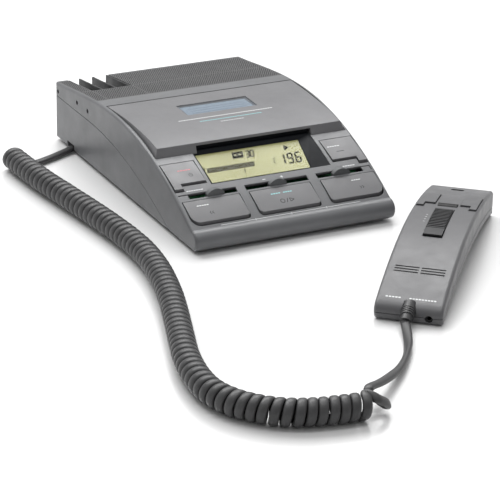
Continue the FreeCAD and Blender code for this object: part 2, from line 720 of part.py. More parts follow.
def head_bridge():
    """The sliding plate that carries the tape heads."""
    return box(-20, 9, -30, -18.0, DECK_TOP + 0.2, 38.2)


def tape_heads():
    """The recording head and the erase head."""
    record = box(-6.5, 4.5, -25, -16.6, 38.2, 44.0)
    erase = box(-16, -10, -24, -16.6, 38.2, 44.0)
    return Part.makeCompound([record, erase])


def cassette_shell():
    """The cassette's shell, hollow, with hub holes, head windows and a notch for the capstan."""
    cx, cy = CASSETTE_MIDDLE
    length, depth, height = CASSETTE
    low = CASSETTE_FLOOR
    x0, x1, y0, y1 = cx - length / 2, cx + length / 2, cy - depth / 2, cy + depth / 2
    body = rounded_plan(x0, x1, y0, y1, low, low + height, 1.5, 1.5, 1.5)
    cuts = [box(x0 + 1.6, 13.0, y0 + 3.2, y1 - 1.6, low + 1.5, low + height - 1.5),
            box(12.9, x1 - 1.6, -6.0, y1 - 1.6, low + 1.5, low + height - 1.5),
            box(14.5, x1 + 1, y0 - 1, -8.0, low - 1, low + height + 1),
            box(-7.5, 5.5, y0 - 1, y0 + 2.6, low - 1, low + height - 0.6),
            box(-17.0, -9.0, y0 - 1, y0 + 2.6, low - 1, low + height - 0.6)]
    cuts += [rod(x, SPINDLE_Y, low - 1, low + height + 1, 5.2) for x in (SUPPLY_X, TAKEUP_X)]
    for cut in cuts:
        body = body.cut(cut)
    return body


def reel(x, pack):
    """A cassette reel with its tape pack."""
    hub = rod(x, SPINDLE_Y, 37.7, 44.3, 4.7)
    tape = rod(x, SPINDLE_Y, 39.0, 43.0, pack)
    teeth = [box(x - 4.0, x - 3.3, SPINDLE_Y - 0.5, SPINDLE_Y + 0.5, 38, 44)]
    return fuse([hub, tape]).cut(rod(x, SPINDLE_Y, 37, 45, 3.4)).fuse(teeth[0]).removeSplitter()


# ---- base unit: socket, plug, feet and screws ----
def microphone_socket():
    """The socket in the plug pocket."""
    block = box(-47.0, POCKET[1] - 0.05, 89.5, 102.5, 3.0, 14.5)
    return block.cut(box(-48, -42.5, 92.0, 100.0, 4.6, 11.4))


def microphone_plug():
    """The cord's plug, pushed home in its socket."""
    body = box(-57.0, -47.1, 90.5, 101.5, 2.0, 12.4)
    nose = box(-47.2, -43.2, 92.3, 99.7, 4.9, 11.1)
    return fuse([body, nose])


def feet_places():
    """The four corner feet and the middle one."""
    return ((-60.0, -98.0, 6.0), (60.0, -98.0, 6.0), (-56.0, 68.0, 6.0), (60.0, 98.0, 6.0),
            (0.0, 0.0, 8.0))


def rubber_feet():
    """Five rubber feet, let into the floor; the middle one stands over the origin."""
    return Part.makeCompound([rod(x, y, 0, FOOT + 0.6, r - 0.1) for x, y, r in feet_places()])


def housing_screws():
    """The four screws that hold the housings together."""
    screws = []
    for x, y in housing_posts():
        head = rod(x, y, 2.5, 4.2, 2.7).cut(box(x - 2, x + 2, y - 0.4, y + 0.4, 2, 3.2))
        screws.append(fuse([head, rod(x, y, 4.0, 24.0, 1.3)]))
    return Part.makeCompound(screws)


# ---- hand microphone, in its own frame ----
def mic_top(y):
    """Height of the microphone's front face."""
    middle, peak = MIC_PEAK
    bend = MIC_BEND_HEAD if y > middle else MIC_BEND_CORD
    return peak - bend * (y - middle) ** 2


def mic_under(y):
    """Height of the microphone's arched underside."""
    middle, rise, half = MIC_ARCH
    return rise * (1 - ((y - middle) / half) ** 2)


def mic_nose(x, crease, under_start):
    """The microphone's cord end in profile: a soft brow, a bulging front and a tucked-in foot."""
    slope = 2 * MIC_BEND_CORD * (MIC_PEAK[0] - crease.y)
    curve = Part.BSplineCurve()
    points = [crease, V(x, 4.4, 10.6), V(x, 2.4, 6.6), V(x, 3.5, 2.2), under_start]
    curve.interpolate(Points=points, InitialTangent=V(0, -1, -slope), FinalTangent=V(0, 1, -0.3))
    return curve.toShape()


def mic_envelope():
    """The outside of the microphone: a bowed bar with a rounded cord end and soft long edges."""
    x, brow, foot, back = -MIC_HALF, 10.5, 6.0, MIC_LENGTH - 0.5
    top = height_edge(mic_top, brow, back, x)
    under = height_edge(mic_under, foot, back, x)
    nose = mic_nose(x, V(x, brow, mic_top(brow)), V(x, foot, mic_under(foot)))
    rear = Part.makeLine(V(x, back, mic_top(back)), V(x, back, mic_under(back)))
    wire = Part.Wire(Part.__sortEdges__([nose, top, rear, under]))
    body = Part.Face(wire).extrude(V(2 * MIC_HALF, 0, 0))
    return body.makeFillet(MIC_ROUND, [e for e in side_edges(body, MIC_HALF) if e.BoundBox.YMin < back - 0.1])


def mic_hollow():
    """The microphone's shell before it is parted, with the cord's hole in its nose."""
    inside = strip(-MIC_HALF + MIC_WALL, MIC_HALF - MIC_WALL, 8.6, MIC_LENGTH - 2.4,
                   lifted(mic_top, -MIC_WALL), lifted(mic_under, MIC_WALL))
    return mic_envelope().cut(inside).cut(boot_seat())


def mic_seam(y):
    """Height of the seam between the microphone's two shells."""
    return mic_under(y) + MIC_SEAM


def mic_front_shell(shell):
    """Front shell with openings for the slide switch, the keys, the lamp and the loudspeaker."""
    body = shell.common(strip(-30, 30, -3, MIC_LENGTH + 3, 60.0, lifted(mic_seam, SEAM)))
    x0, x1, y0, y1 = SWITCH_SLOT
    cuts = [rounded_plan(x0, x1, y0, y1, 15, 40, 0.8, 0.8), lamp_block(0.1, 15)]
    cuts += [mic_key_plan(side, 0.45, 1.6, 15, 40) for side in (-1, 1)]
    for row in range(3):
        middle = 36.3 + 2.7 * row
        cuts += [box(a, a + 15.4, middle - 0.55, middle + 0.55, 10, 40) for a in (-16.2, 0.8)]
    cuts.append(rounded_plan(-5.7, 3.6, 181.8, 187.0, 10, 40, 2.4, 2.4, 2.4))
    cuts.append(mic_jack_bore(2.5))
    for cut in cuts:
        body = body.cut(cut)
    posts = []
    for x, y in mic_screw_places():
        post = rod(x, y, mic_under(y) + 2.1, mic_top(y) - 1.0, 2.6)
        posts.append(post.cut(rod(x, y, 0, mic_under(y) + 7.5, 1.05)))
    return fuse([body] + posts)


def mic_rear_shell(shell):
    """Rear shell, which the microphone lies on."""
    body = shell.common(strip(-30, 30, -3, MIC_LENGTH + 3, lifted(mic_seam, -SEAM), -5.0))
    posts = [rod(x, y, mic_under(y) + 1.0, 16.0, 1.8) for x in (-12, 12) for y in (60, 144)]
    body = fuse([body] + posts)
    holes = [rod(x, y, -1, mic_under(y) + 1.2, 2.4) for x, y in mic_screw_places()]
    holes += [rod(x, y, -1, 12, 1.2) for x, y in mic_screw_places()]
    return body.cut(Part.makeCompound(holes)).cut(mic_jack_bore(2.5))


def mic_key_plan(side, grow, front_grow, z0, z1):
    """Plan of a microphone key: a plate with a tab at its outer front corner."""
    inner, outer, tab = 8.6 - grow, 19.8 + grow, 15.4 - grow
    blocks = []
    for near, far, front in ((inner, outer, 138.7), (tab, outer, 131.7)):
        x0, x1 = sorted((side * near, side * far))
        blocks.append(box(x0, x1, front - front_grow, 161.5 + grow * 0.6, z0, z1))
    return blocks[0].fuse(blocks[1]).removeSplitter()


def mic_key(side):
    """A microphone key, a little proud of the front shell."""
    slab = strip(-30, 30, 130, 163, lifted(mic_top, MIC_KEY_LIFT), lifted(mic_top, -2.2))
    return mic_key_plan(side, 0, 0, 10, 40).common(slab)


def lamp_block(grow, z0):
    """The upright block of the record lamp's lens."""
    return rounded_plan(-6.3 - grow, 6.7 + grow, 134.2 - grow, 140.8 + grow, z0, 40, 0.6, 0.6)


def mic_lamp():
    """The record lamp's lens: a low dark hump."""
    def hump(y):
        return mic_top(y) + 1.1 - 0.09 * (y - 137.5) ** 2
    slab = strip(-8, 8, 133, 142, hump, lifted(mic_top, -3.0))
    return lamp_block(0, 10).common(slab)


def mic_slide_knob():
    """The ribbed slide switch, with a plain lip at its front end."""
    x0, x1, y0, y1 = SWITCH_KNOB
    body = strip(x0, x1, y0, y1, lifted(mic_top, 0.3), lifted(mic_top, -2.6))
    lip = strip(x0, x1, y0 - 5.0, y0 + 5.0, lifted(mic_top, 1.5), lifted(mic_top, 0.2))
    ribs = []
    for i in range(13):
        y = y0 + 7.0 + 2.6 * i
        ribs.append(strip(x0 + 0.3, x1 - 0.3, y - 0.65, y + 0.65, lifted(mic_top, 1.2), mic_top))
    stem = box(-1.5, 1.5, 100, 104, 20.2, 27)
    return fuse([body, lip, stem] + ribs)


def mic_switch_body():
    """The slide switch on the circuit board, under the knob."""
    block = box(-4, 4, 92, 114, 17.7, 22.5)
    return block.cut(box(-2, 2, 94, 110, 19.8, 24))


def mic_board():
    """The microphone's circuit board."""
    return box(-17, 17, 52, 152, 16.0, 17.6)


def mic_capsule():
    """The microphone capsule behind the slot in the head."""
    return rod(-1.1, 185.2, 9.5, 16.0, 4.8)


def mic_loudspeaker():
    """The small loudspeaker behind the slits."""
    return fuse([rod(0, 39, 11.6, 14.8, 14.5), rod(0, 39, 9.4, 11.8, 8.0)])


def mic_jack_bore(radius):
    """The earphone jack's hole in the nose."""
    return Part.makeCylinder(radius, 14, V(JACK[0], 0, JACK[1]), V(0, 1, 0))


def mic_jack():
    """The earphone jack in the nose."""
    body = Part.makeCylinder(2.4, 9, V(JACK[0], 5.0, JACK[1]), V(0, 1, 0))
    return body.cut(Part.makeCylinder(1.4, 12, V(JACK[0], -1, JACK[1]), V(0, 1, 0)))


def mic_screw_places():
    """Where the microphone's shells are screwed together."""
    return ((-13.0, 15.0), (0.0, 172.0))


def mic_screws():
    """Two screws in the microphone's underside."""
    screws = []
    for x, y in mic_screw_places():
        low = mic_under(y)
        screws.append(fuse([rod(x, y, low + 0.2, low + 1.1, 2.2), rod(x, y, low + 1.0, low + 6.5, 1.0)]))
    return Part.makeCompound(screws)


def boot_line():
    """Start and end of the strain relief, in the microphone's nose."""
    return V(0, 9.5, 9.7), V(0, -6.0, 5.1)


def boot_seat():
    """The hole in the nose that holds the strain relief."""
    start, end = boot_line()
    along = (end - start).normalize()
    return Part.makeCylinder(4.75, 16, start, along)


def strain_relief():
    """The ribbed strain relief: a flange inside the nose and a taper outside."""
    start, end = boot_line()
    along = (end - start).normalize()
    length = (end - start).Length
    body = Part.makeCone(4.7, 3.3, length, start, along)
    rings = [Part.makeCylinder(4.75 - 0.12 * i, 1.1, start + along * (5.0 + 1.8 * i), along)
             for i in range(4)]
    return fuse([body] + rings)


def placed(shape):
    """A microphone piece where it lies on the desk."""
    moved = shape.copy()
    moved.rotate(V(0, 0, 0), V(0, 0, 1), MIC_TURN)
    moved.translate(MIC_AT)
    return moved


# ---- cord ----
def tube(name, points, diameter):
    """A tube of straight runs joined by tangent arcs, each as large as its runs allow."""
    edges = []
    last = points[0]
    radii = []
    for before, corner, after in zip(points, points[1:], points[2:]):
        way_in, way_out = (corner - before), (after - corner)
        half_turn = way_in.getAngle(way_out) / 2.0
        reach = 0.45 * min(way_in.Length, way_out.Length)
        radii.append(reach / math.tan(half_turn))
        start = corner - way_in.normalize() * reach
        end = corner + way_out.normalize() * reach
        sag = radii[-1] * (1 / math.cos(half_turn) - 1)
        inward = ((start + end) * 0.5 - corner).normalize()
        edges.append(Part.makeLine(last, start))
        edges.append(Part.Arc(start, corner + inward * sag, end).toShape())
        last = end
    edges.append(Part.makeLine(last, points[-1]))
    path = Part.Wire(edges)
    circle = Part.makeCircle(diameter / 2.0, points[0], points[1] - points[0])
    solid = sweep(path, circle)
    wanted = math.pi * diameter ** 2 / 4.0 * path.Length
    print(name, "length", round(path.Length, 1), "tightest", round(min(radii), 1),
          "volume ratio", round(solid.Volume / wanted, 4))
    return solid


def sweep(path, circle):
    """A solid tube along a path of tangent edges."""
    shell = path.makePipeShell([Part.Wire([circle])], True, False)
    return shell if shell.ShapeType == "Solid" else Part.Solid(shell)


def build():
    """Make every sub-part and write it."""
    os.makedirs("parts", exist_ok=True)
    shell = hollow()
    mic_shell = mic_hollow()
    base = {
        "lower_housing": lower_housing(shell), "upper_housing": upper_housing(shell),
        "rear_grille": rear_grille(), "connector_bay": connector_bay(),
        "accessory_sockets": accessory_sockets(), "cassette_lid": cassette_lid(),
        "lid_window": lid_window(), "lid_hinge_pins": lid_hinge_pins(), "lid_catch": lid_catch(),
        "display_frame": display_frame(), "display_window": display_window(),
        "display_panel": display_panel(), "power_key": side_key(-1), "search_key": side_key(1),
        "key_switches": key_switches(), "slide_potentiometers": slide_potentiometers(),
        "key_board": key_board(), "main_board": main_board(), "loudspeaker": loudspeaker(),
        "deck_plate": deck_plate(), "capstan_flywheel": capstan_flywheel(),
        "supply_spindle": spindle(SUPPLY_X, 5.0), "takeup_spindle": spindle(TAKEUP_X, TAKEUP_DISC),
        "idler_wheel": idler_wheel(), "drive_motor": drive_motor(), "motor_pulley": motor_pulley(),
        "drive_belt": drive_belt(), "pinch_arm": pinch_arm(), "pinch_roller": pinch_roller(),
        "head_bridge": head_bridge(), "tape_heads": tape_heads(), "cassette_shell": cassette_shell(),
        "supply_reel": reel(SUPPLY_X, 10.0), "takeup_reel": reel(TAKEUP_X, 8.0),
        "microphone_socket": microphone_socket(), "microphone_plug": microphone_plug(),
        "rubber_feet": rubber_feet(), "housing_screws": housing_screws(),
    }
    for name, sizes in FRONT_KEYS.items():
        base[name] = front_key(*sizes)
    for name, (_, _, middle) in zip(("speed_knob", "volume_knob", "tone_knob"), SLOTS):
        base[name] = slider_knob(middle)
    microphone = {
        "mic_front_shell": mic_front_shell(mic_shell), "mic_rear_shell": mic_rear_shell(mic_shell),
        "mic_slide_knob": mic_slide_knob(), "mic_switch_body": mic_switch_body(),
        "mic_left_key": mic_key(-1), "mic_right_key": mic_key(1), "mic_lamp": mic_lamp(),
        "mic_board": mic_board(), "mic_capsule": mic_capsule(), "mic_loudspeaker": mic_loudspeaker(),
        "mic_jack": mic_jack(), "mic_screws": mic_screws(), "mic_strain_relief": strain_relief(),
    }
    cord = {
        "cord_base_tail": tube("cord_base_tail", BASE_TAIL_ROUTE, CORD),
        "cord_coil": tube("cord_coil", COIL_ROUTE, COIL),
        "cord_mic_tail": tube("cord_mic_tail", MIC_TAIL_ROUTE, CORD),
    }
    for name, shape in base.items():
        save(name, shape)
    for name, shape in microphone.items():
        save(name, placed(shape))
    for name, shape in cord.items():
        save(name, shape)


build()
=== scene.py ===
"""Looks for a desk dictation machine for microcassettes, with its hand microphone on a curly cord.

Lengths are in metres in the part's own frame: X to the right, Y to the back, Z up, with the
desk at Z 0. MM turns a figure in millimetres into metres. Pieces with a small drawn outline
are given in millimetres, because the outline is easier to read that way.
"""

import json
import math
import random

import bpy
import numpy as np
from mathutils import Matrix, Vector
from mathutils.bvhtree import BVHTree


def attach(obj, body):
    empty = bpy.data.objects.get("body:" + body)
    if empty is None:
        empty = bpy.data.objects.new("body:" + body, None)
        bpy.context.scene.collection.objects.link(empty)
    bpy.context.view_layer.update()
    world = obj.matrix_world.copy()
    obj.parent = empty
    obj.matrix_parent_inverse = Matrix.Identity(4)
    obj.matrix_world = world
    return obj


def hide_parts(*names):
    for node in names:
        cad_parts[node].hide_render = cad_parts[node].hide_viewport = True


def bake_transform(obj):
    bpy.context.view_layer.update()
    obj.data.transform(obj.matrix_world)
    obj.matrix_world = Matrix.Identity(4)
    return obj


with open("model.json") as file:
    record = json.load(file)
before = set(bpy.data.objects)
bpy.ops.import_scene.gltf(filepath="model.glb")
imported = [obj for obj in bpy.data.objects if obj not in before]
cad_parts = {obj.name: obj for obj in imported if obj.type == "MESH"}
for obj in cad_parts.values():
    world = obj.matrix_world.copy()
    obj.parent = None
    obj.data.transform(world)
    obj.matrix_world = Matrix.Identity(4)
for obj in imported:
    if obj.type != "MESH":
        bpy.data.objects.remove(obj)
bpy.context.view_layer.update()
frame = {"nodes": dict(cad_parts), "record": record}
CAD = frame["nodes"]
MM = 0.001

# ---- camera ----
CAMERA_PLACE = (-0.70659, -1.46011, 0.62768)
CAMERA_AZIMUTH = -26.656
CAMERA_ELEVATION = 22.824
CAMERA_ROLL = 1.054
CAMERA_LENS = 176.3

# ---- base unit, in millimetres ----
CROWN = (53.54, 7.34, -19.64, 4.02, 1.73)
HINGE_Y = 30.0
LID_FRONT = -49.7
LID_RISE = 4.95
LABEL_BELOW_LID = 1.3
LABEL_LEFT, LABEL_RIGHT = -26.3, 24.3
LABEL_FRONT, LABEL_STRIP, LABEL_STRIPS = -6.3, 2.7, 6
DISPLAY_REAR = (-52.6, 42.1)
DISPLAY_FRONT = (-82.3, 32.6)
PANEL_BELOW_PANE = 0.65
FIGURE_LEAN, FIGURE_LEAN_ABOUT = 0.3, -66.0
FIGURE_SINK = 0.3

# ---- perforated rear panel, in millimetres ----
GRILLE_LEFT, GRILLE_RIGHT = -73.0, 73.0
GRILLE_FRONT, GRILLE_REAR = 46.0, 118.2
GRILLE_RECESS, GRILLE_UNDERSIDE = 0.05, 1.28
GRILLE_NOTCH = (-64.3, -33.0, 76.7)
GRILLE_CELL = (0.9, 1.5)
GRILLE_HOLE = (0.44, 0.66)
GRILLE_HOLE_DEPTH = 1.0
GRILLE_HOLE_SIDES = 8
GRILLE_PLAIN_RIM = 0.9

# ---- microphone: its own frame runs from the cord end to the head end, in millimetres ----
MICROPHONE_PLACE = (-2.0, -274.2)
MICROPHONE_TURN = -40.5

# ---- studio ----
FLOOR_HALF = 4.0
FLOOR_MIRROR = 0.38
BOX_WATTS = 30.0
STRIP_WATTS = 7.0
SKY_TOWARDS = (0.0, 0.75, 0.65)
SKY_DARK, SKY_BRIGHT = 0.34, 0.7

# ---- curly cord, in metres ----
BASE_TAIL_ROUTE = [(-0.0578, 0.0958, 0.0050), (-0.0660, 0.0940, 0.0034), (-0.0840, 0.0852, 0.0026),
                   (-0.1000, 0.0770, 0.0025), (-0.1130, 0.0726, 0.0024)]
COIL_ROUTE = [(-0.1260, 0.0750, 0.0086), (-0.1250, 0.0380, 0.0086), (-0.1170, -0.0250, 0.0086),
              (-0.1105, -0.0850, 0.0086), (-0.1105, -0.1320, 0.0086), (-0.1220, -0.1850, 0.0086),
              (-0.1400, -0.2380, 0.0086), (-0.1575, -0.2880, 0.0086), (-0.1610, -0.3330, 0.0086),
              (-0.1380, -0.3640, 0.0086), (-0.1080, -0.3750, 0.0086), (-0.0800, -0.3770, 0.0086)]
MIC_TAIL_ROUTE = [(-0.0825, -0.3800, 0.0140), (-0.0780, -0.3790, 0.0110), (-0.0735, -0.3770, 0.0078),
                  (-0.0715, -0.3740, 0.0048), (-0.0735, -0.3705, 0.0055), (-0.0785, -0.3680, 0.0095),
                  (-0.0805, -0.3665, 0.0125), (-0.0780, -0.3635, 0.0130), (-0.0660, -0.3555, 0.0095),
                  (-0.0480, -0.3405, 0.0055), (-0.0365, -0.3290, 0.0036), (-0.0237, -0.3135, 0.0030),
                  (-0.0135, -0.2962, 0.0032), (-0.0064, -0.2795, 0.0048)]
# The strand leans by TAIL_TILT degrees at TAIL_TILT_AT of the tail's length, less within TAIL_TILT_REACH.
TAIL_TILT, TAIL_TILT_AT, TAIL_TILT_REACH = 65.0, 0.87, 0.13
# Up to FOLD_UNTIL of its points the tail's wider side faces FOLD_BROAD.
FOLD_UNTIL = 0.43
FOLD_BROAD = (0.0, 0.75, 0.66)
STRAND_WIDTH = 0.0060
STRAND_THICKNESS = 0.0038
STRAND_SIDES = 12
STRAND_SQUARENESS = 0.8
HELIX_RADIUS = 0.0066
HELIX_PITCH = 0.0063
HELIX_SWAY, HELIX_SHIFT = 0.012, 0.0004
END_TURNS, END_PITCH = 3.5, 0.0063
COIL_STOP_SHORT = 0.0075
POINTS_PER_TURN = 24
LEAD_IN, LEAD_OUT = 0.006, 0.004
COIL_LINE_STEPS, TAIL_STEPS = 24, 10


def crown(y):
    """Height of the base unit's top surface, in millimetres."""
    t = y / 100.0
    return sum(factor * t ** power for power, factor in enumerate(CROWN))


def lid_top(y):
    """Height of the lid's outside, in millimetres."""
    share = (HINGE_Y - y) / (HINGE_Y - LID_FRONT)
    return crown(y) + LID_RISE * share * share


def display_level(y):
    """Height of the display pane's face, in millimetres."""
    (rear_y, rear_z), (front_y, front_z) = DISPLAY_REAR, DISPLAY_FRONT
    return front_z + (rear_z - front_z) * (y - front_y) / (rear_y - front_y)


def on_microphone(x, y):
    """A place in the microphone's own frame, turned into the part's frame."""
    turn = math.radians(MICROPHONE_TURN)
    return (MICROPHONE_PLACE[0] + x * math.cos(turn) - y * math.sin(turn),
            MICROPHONE_PLACE[1] + x * math.sin(turn) + y * math.cos(turn))


# ---- materials ----
def srgb(red, green, blue):
    """A screen colour, 0 to 255, as the linear colour that shaders take."""
    def linear(value):
        value /= 255.0
        return value / 12.92 if value <= 0.04045 else ((value + 0.055) / 1.055) ** 2.4
    return (linear(red), linear(green), linear(blue), 1.0)


class Recipe:
    """A material being built: its tree, its shader and the object coordinates."""

    def __init__(self, name):
        self.material = bpy.data.materials.new(name)
        self.material.use_nodes = True
        self.tree = self.material.node_tree
        self.shader = self.tree.nodes["Principled BSDF"]
        self.place = self.tree.nodes.new("ShaderNodeTexCoord").outputs["Object"]

    def add(self, kind, **settings):
        node = self.tree.nodes.new(kind)
        for name, value in settings.items():
            setattr(node, name, value)
        return node

    def link(self, source, target):
        self.tree.links.new(source, target)

    def noise(self, size, detail=3.0, roughness=0.55, stretch=(1, 1, 1)):
        """Cloudy noise whose features are about this many metres across."""
        node = self.add("ShaderNodeTexNoise")
        node.inputs["Scale"].default_value = 1.0 / size
        node.inputs["Detail"].default_value = detail
        node.inputs["Roughness"].default_value = roughness
        mapping = self.add("ShaderNodeMapping")
        mapping.inputs["Scale"].default_value = stretch
        self.link(self.place, mapping.inputs["Vector"])
        self.link(mapping.outputs["Vector"], node.inputs["Vector"])
        return node.outputs["Fac"]

    def spread(self, source, low, high, start=0.3, end=0.7):
        """source, stretched from start..end to low..high."""
        node = self.add("ShaderNodeMapRange")
        node.inputs["From Min"].default_value = start
        node.inputs["From Max"].default_value = end
        node.inputs["To Min"].default_value = low
        node.inputs["To Max"].default_value = high
        self.link(source, node.inputs["Value"])
        return node.outputs["Result"]

    def mix(self, share, first, second):
        """Two colours, mixed by share. Either may be a colour or a socket."""
        node = self.add("ShaderNodeMix", data_type="RGBA")
        sockets = [s for s in node.inputs if s.type == "RGBA"]
        for value, socket in zip((first, second), sockets):
            if isinstance(value, tuple):
                socket.default_value = value
            else:
                self.link(value, socket)
        self.link(share, node.inputs[0])
        return [s for s in node.outputs if s.type == "RGBA"][0]

    def worn_and_lit_edges(self, radius):
        """A rounded normal, and 1 where an edge of that radius turns: the mask for paler edges, partly
        rubbed wear and partly painted highlight.
        """
        bevel = self.add("ShaderNodeBevel", samples=4)
        bevel.inputs["Radius"].default_value = radius
        geometry = self.add("ShaderNodeNewGeometry")
        dot = self.add("ShaderNodeVectorMath", operation="DOT_PRODUCT")
        self.link(bevel.outputs["Normal"], dot.inputs[0])
        self.link(geometry.outputs["Normal"], dot.inputs[1])
        return bevel.outputs["Normal"], self.spread(dot.outputs["Value"], 1.0, 0.0, 0.7, 0.99)

    def bump(self, height, distance, normal=None):
        node = self.add("ShaderNodeBump")
        node.inputs["Distance"].default_value = distance
        self.link(height, node.inputs["Height"])
        if normal is not None:
            self.link(normal, node.inputs["Normal"])
        self.link(node.outputs["Normal"], self.shader.inputs["Normal"])


def plastic(name, colour, gloss=0.5, grain=0.0004, relief=0.00002, edge=0.0, specular=0.45, tint=1.1):
    """Moulded plastic: spark-eroded grain, cloudy colour, uneven gloss, and paler edges that are partly
    rubbed wear and partly a painted highlight.
    """
    recipe = Recipe(name)
    recipe.shader.inputs["Specular IOR Level"].default_value = specular
    paler = tuple(min(1.0, c * tint) for c in colour[:3]) + (1.0,)
    darker = tuple(c / tint for c in colour[:3]) + (1.0,)
    clouds = recipe.spread(recipe.noise(0.03, detail=4), 0.0, 1.0)
    colour_now = recipe.mix(clouds, darker, paler)
    fine = recipe.noise(grain, detail=2)
    colour_now = recipe.mix(recipe.spread(fine, 0.0, 0.25), colour_now, darker)
    normal = None
    if edge:
        normal, wear_and_highlight = recipe.worn_and_lit_edges(edge)
        wear_and_highlight_share = recipe.add("ShaderNodeMath", operation="MULTIPLY")
        recipe.link(wear_and_highlight, wear_and_highlight_share.inputs[0])
        recipe.link(recipe.spread(recipe.noise(0.006), 0.1, 0.5), wear_and_highlight_share.inputs[1])
        # Edges painted paler: partly rubbed wear, partly a painted highlight along each edge.
        bright = tuple(min(1.0, c * 1.7 + 0.01) for c in colour[:3]) + (1.0,)
        colour_now = recipe.mix(wear_and_highlight_share.outputs["Value"], colour_now, bright)
    recipe.link(colour_now, recipe.shader.inputs["Base Color"])
    uneven = recipe.spread(recipe.noise(0.012), gloss - 0.05, gloss + 0.07)
    recipe.link(uneven, recipe.shader.inputs["Roughness"])
    recipe.bump(fine, relief, normal)
    return recipe.material


def metal(name, colour, roughness, stretch=(1, 1, 1)):
    """Metal with fine drawn or turned marks."""
    recipe = Recipe(name)
    recipe.shader.inputs["Metallic"].default_value = 1.0
    marks = recipe.noise(0.0006, detail=3, stretch=stretch)
    duller = tuple(c * 0.7 for c in colour[:3]) + (1.0,)
    recipe.link(recipe.mix(recipe.spread(marks, 0, 1), duller, colour), recipe.shader.inputs["Base Color"])
    recipe.link(recipe.spread(marks, roughness - 0.08, roughness + 0.12), recipe.shader.inputs["Roughness"])
    recipe.bump(marks, 0.00001)
    return recipe.material


def pane(name, tint, haze, gloss):
    """A clear moulded pane: it lets most light through, mirrors by its angle, and is faintly hazy."""
    recipe = Recipe(name)
    clear = recipe.add("ShaderNodeBsdfTransparent")
    recipe.link(recipe.mix(recipe.noise(0.03), tint, tuple(0.97 * c for c in tint[:3]) + (1.0,)),
                clear.inputs["Color"])
    angle = recipe.add("ShaderNodeLayerWeight")
    angle.inputs["Blend"].default_value = 0.5
    steep = recipe.add("ShaderNodeMath", operation="POWER")
    steep.inputs[1].default_value = 5.0
    recipe.link(angle.outputs["Facing"], steep.inputs[0])
    share = recipe.add("ShaderNodeMath", operation="ADD", use_clamp=True)
    recipe.link(steep.outputs["Value"], share.inputs[0])
    recipe.link(recipe.spread(recipe.noise(0.01), haze, 1.6 * haze), share.inputs[1])
    mirror = recipe.add("ShaderNodeBsdfGlossy")
    recipe.link(recipe.spread(recipe.noise(0.004), gloss, gloss + 0.06), mirror.inputs["Roughness"])
    blend = recipe.add("ShaderNodeMixShader")
    recipe.link(share.outputs["Value"], blend.inputs["Fac"])
    recipe.link(clear.outputs["BSDF"], blend.inputs[1])
    recipe.link(mirror.outputs["BSDF"], blend.inputs[2])
    recipe.link(blend.outputs["Shader"], recipe.tree.nodes["Material Output"].inputs["Surface"])
    return recipe.material


def circuit_board(name):
    """Green lacquered board with paler copper tracks under the lacquer."""
    recipe = Recipe(name)
    tracks = recipe.add("ShaderNodeTexBrick")
    tracks.inputs["Scale"].default_value = 160.0
    tracks.inputs["Color1"].default_value = (0.012, 0.10, 0.04, 1)
    tracks.inputs["Color2"].default_value = (0.018, 0.14, 0.05, 1)
    tracks.inputs["Mortar"].default_value = (0.05, 0.26, 0.10, 1)
    tracks.inputs["Mortar Size"].default_value = 0.06
    recipe.link(recipe.place, tracks.inputs["Vector"])
    recipe.link(tracks.outputs["Color"], recipe.shader.inputs["Base Color"])
    recipe.link(recipe.spread(recipe.noise(0.004), 0.25, 0.4), recipe.shader.inputs["Roughness"])
    recipe.bump(tracks.outputs["Fac"], 0.00004)
    return recipe.material


def liquid_crystal(name):
    """The display cell's reflector: greenish yellow in slow clouds, finely frosted."""
    recipe = Recipe(name)
    recipe.shader.inputs["Specular IOR Level"].default_value = 0.05
    slow = recipe.spread(recipe.noise(0.06, detail=1), 0.0, 1.0)
    colour = recipe.mix(slow, srgb(154, 149, 103), srgb(174, 171, 124))
    recipe.link(colour, recipe.shader.inputs["Base Color"])
    recipe.link(recipe.spread(recipe.noise(0.0006), 0.4, 0.55), recipe.shader.inputs["Roughness"])
    recipe.bump(recipe.noise(0.0003, detail=1), 0.000006)
    return recipe.material


def jacket(name):
    """Cord jacket: satin dark grey rubber with faint lengthwise scuffs."""
    recipe = Recipe(name)
    clouds = recipe.spread(recipe.noise(0.02, detail=4), 0, 1)
    scuffs = recipe.noise(0.0015, detail=4, roughness=0.7)
    colour = recipe.mix(clouds, srgb(46, 46, 47), srgb(58, 58, 59))
    colour = recipe.mix(recipe.spread(scuffs, 0, 0.4, 0.55, 0.75), colour, srgb(82, 82, 83))
    recipe.link(colour, recipe.shader.inputs["Base Color"])
    recipe.link(recipe.spread(scuffs, 0.36, 0.52), recipe.shader.inputs["Roughness"])
    recipe.bump(scuffs, 0.00004)
    return recipe.material


def ink(name, colour, sheen=0.5):
    """Screen-printed ink: slightly uneven cover, with as much sheen as asked for."""
    recipe = Recipe(name)
    recipe.shader.inputs["Specular IOR Level"].default_value = sheen
    cover = recipe.spread(recipe.noise(0.0004, detail=2), 0, 1, 0.35, 0.6)
    thin = tuple(c * 0.8 for c in colour[:3]) + (1.0,)
    recipe.link(recipe.mix(cover, thin, colour), recipe.shader.inputs["Base Color"])
    recipe.link(recipe.spread(recipe.noise(0.001), 0.4, 0.6), recipe.shader.inputs["Roughness"])
    recipe.bump(cover, 0.000004)
    return recipe.material


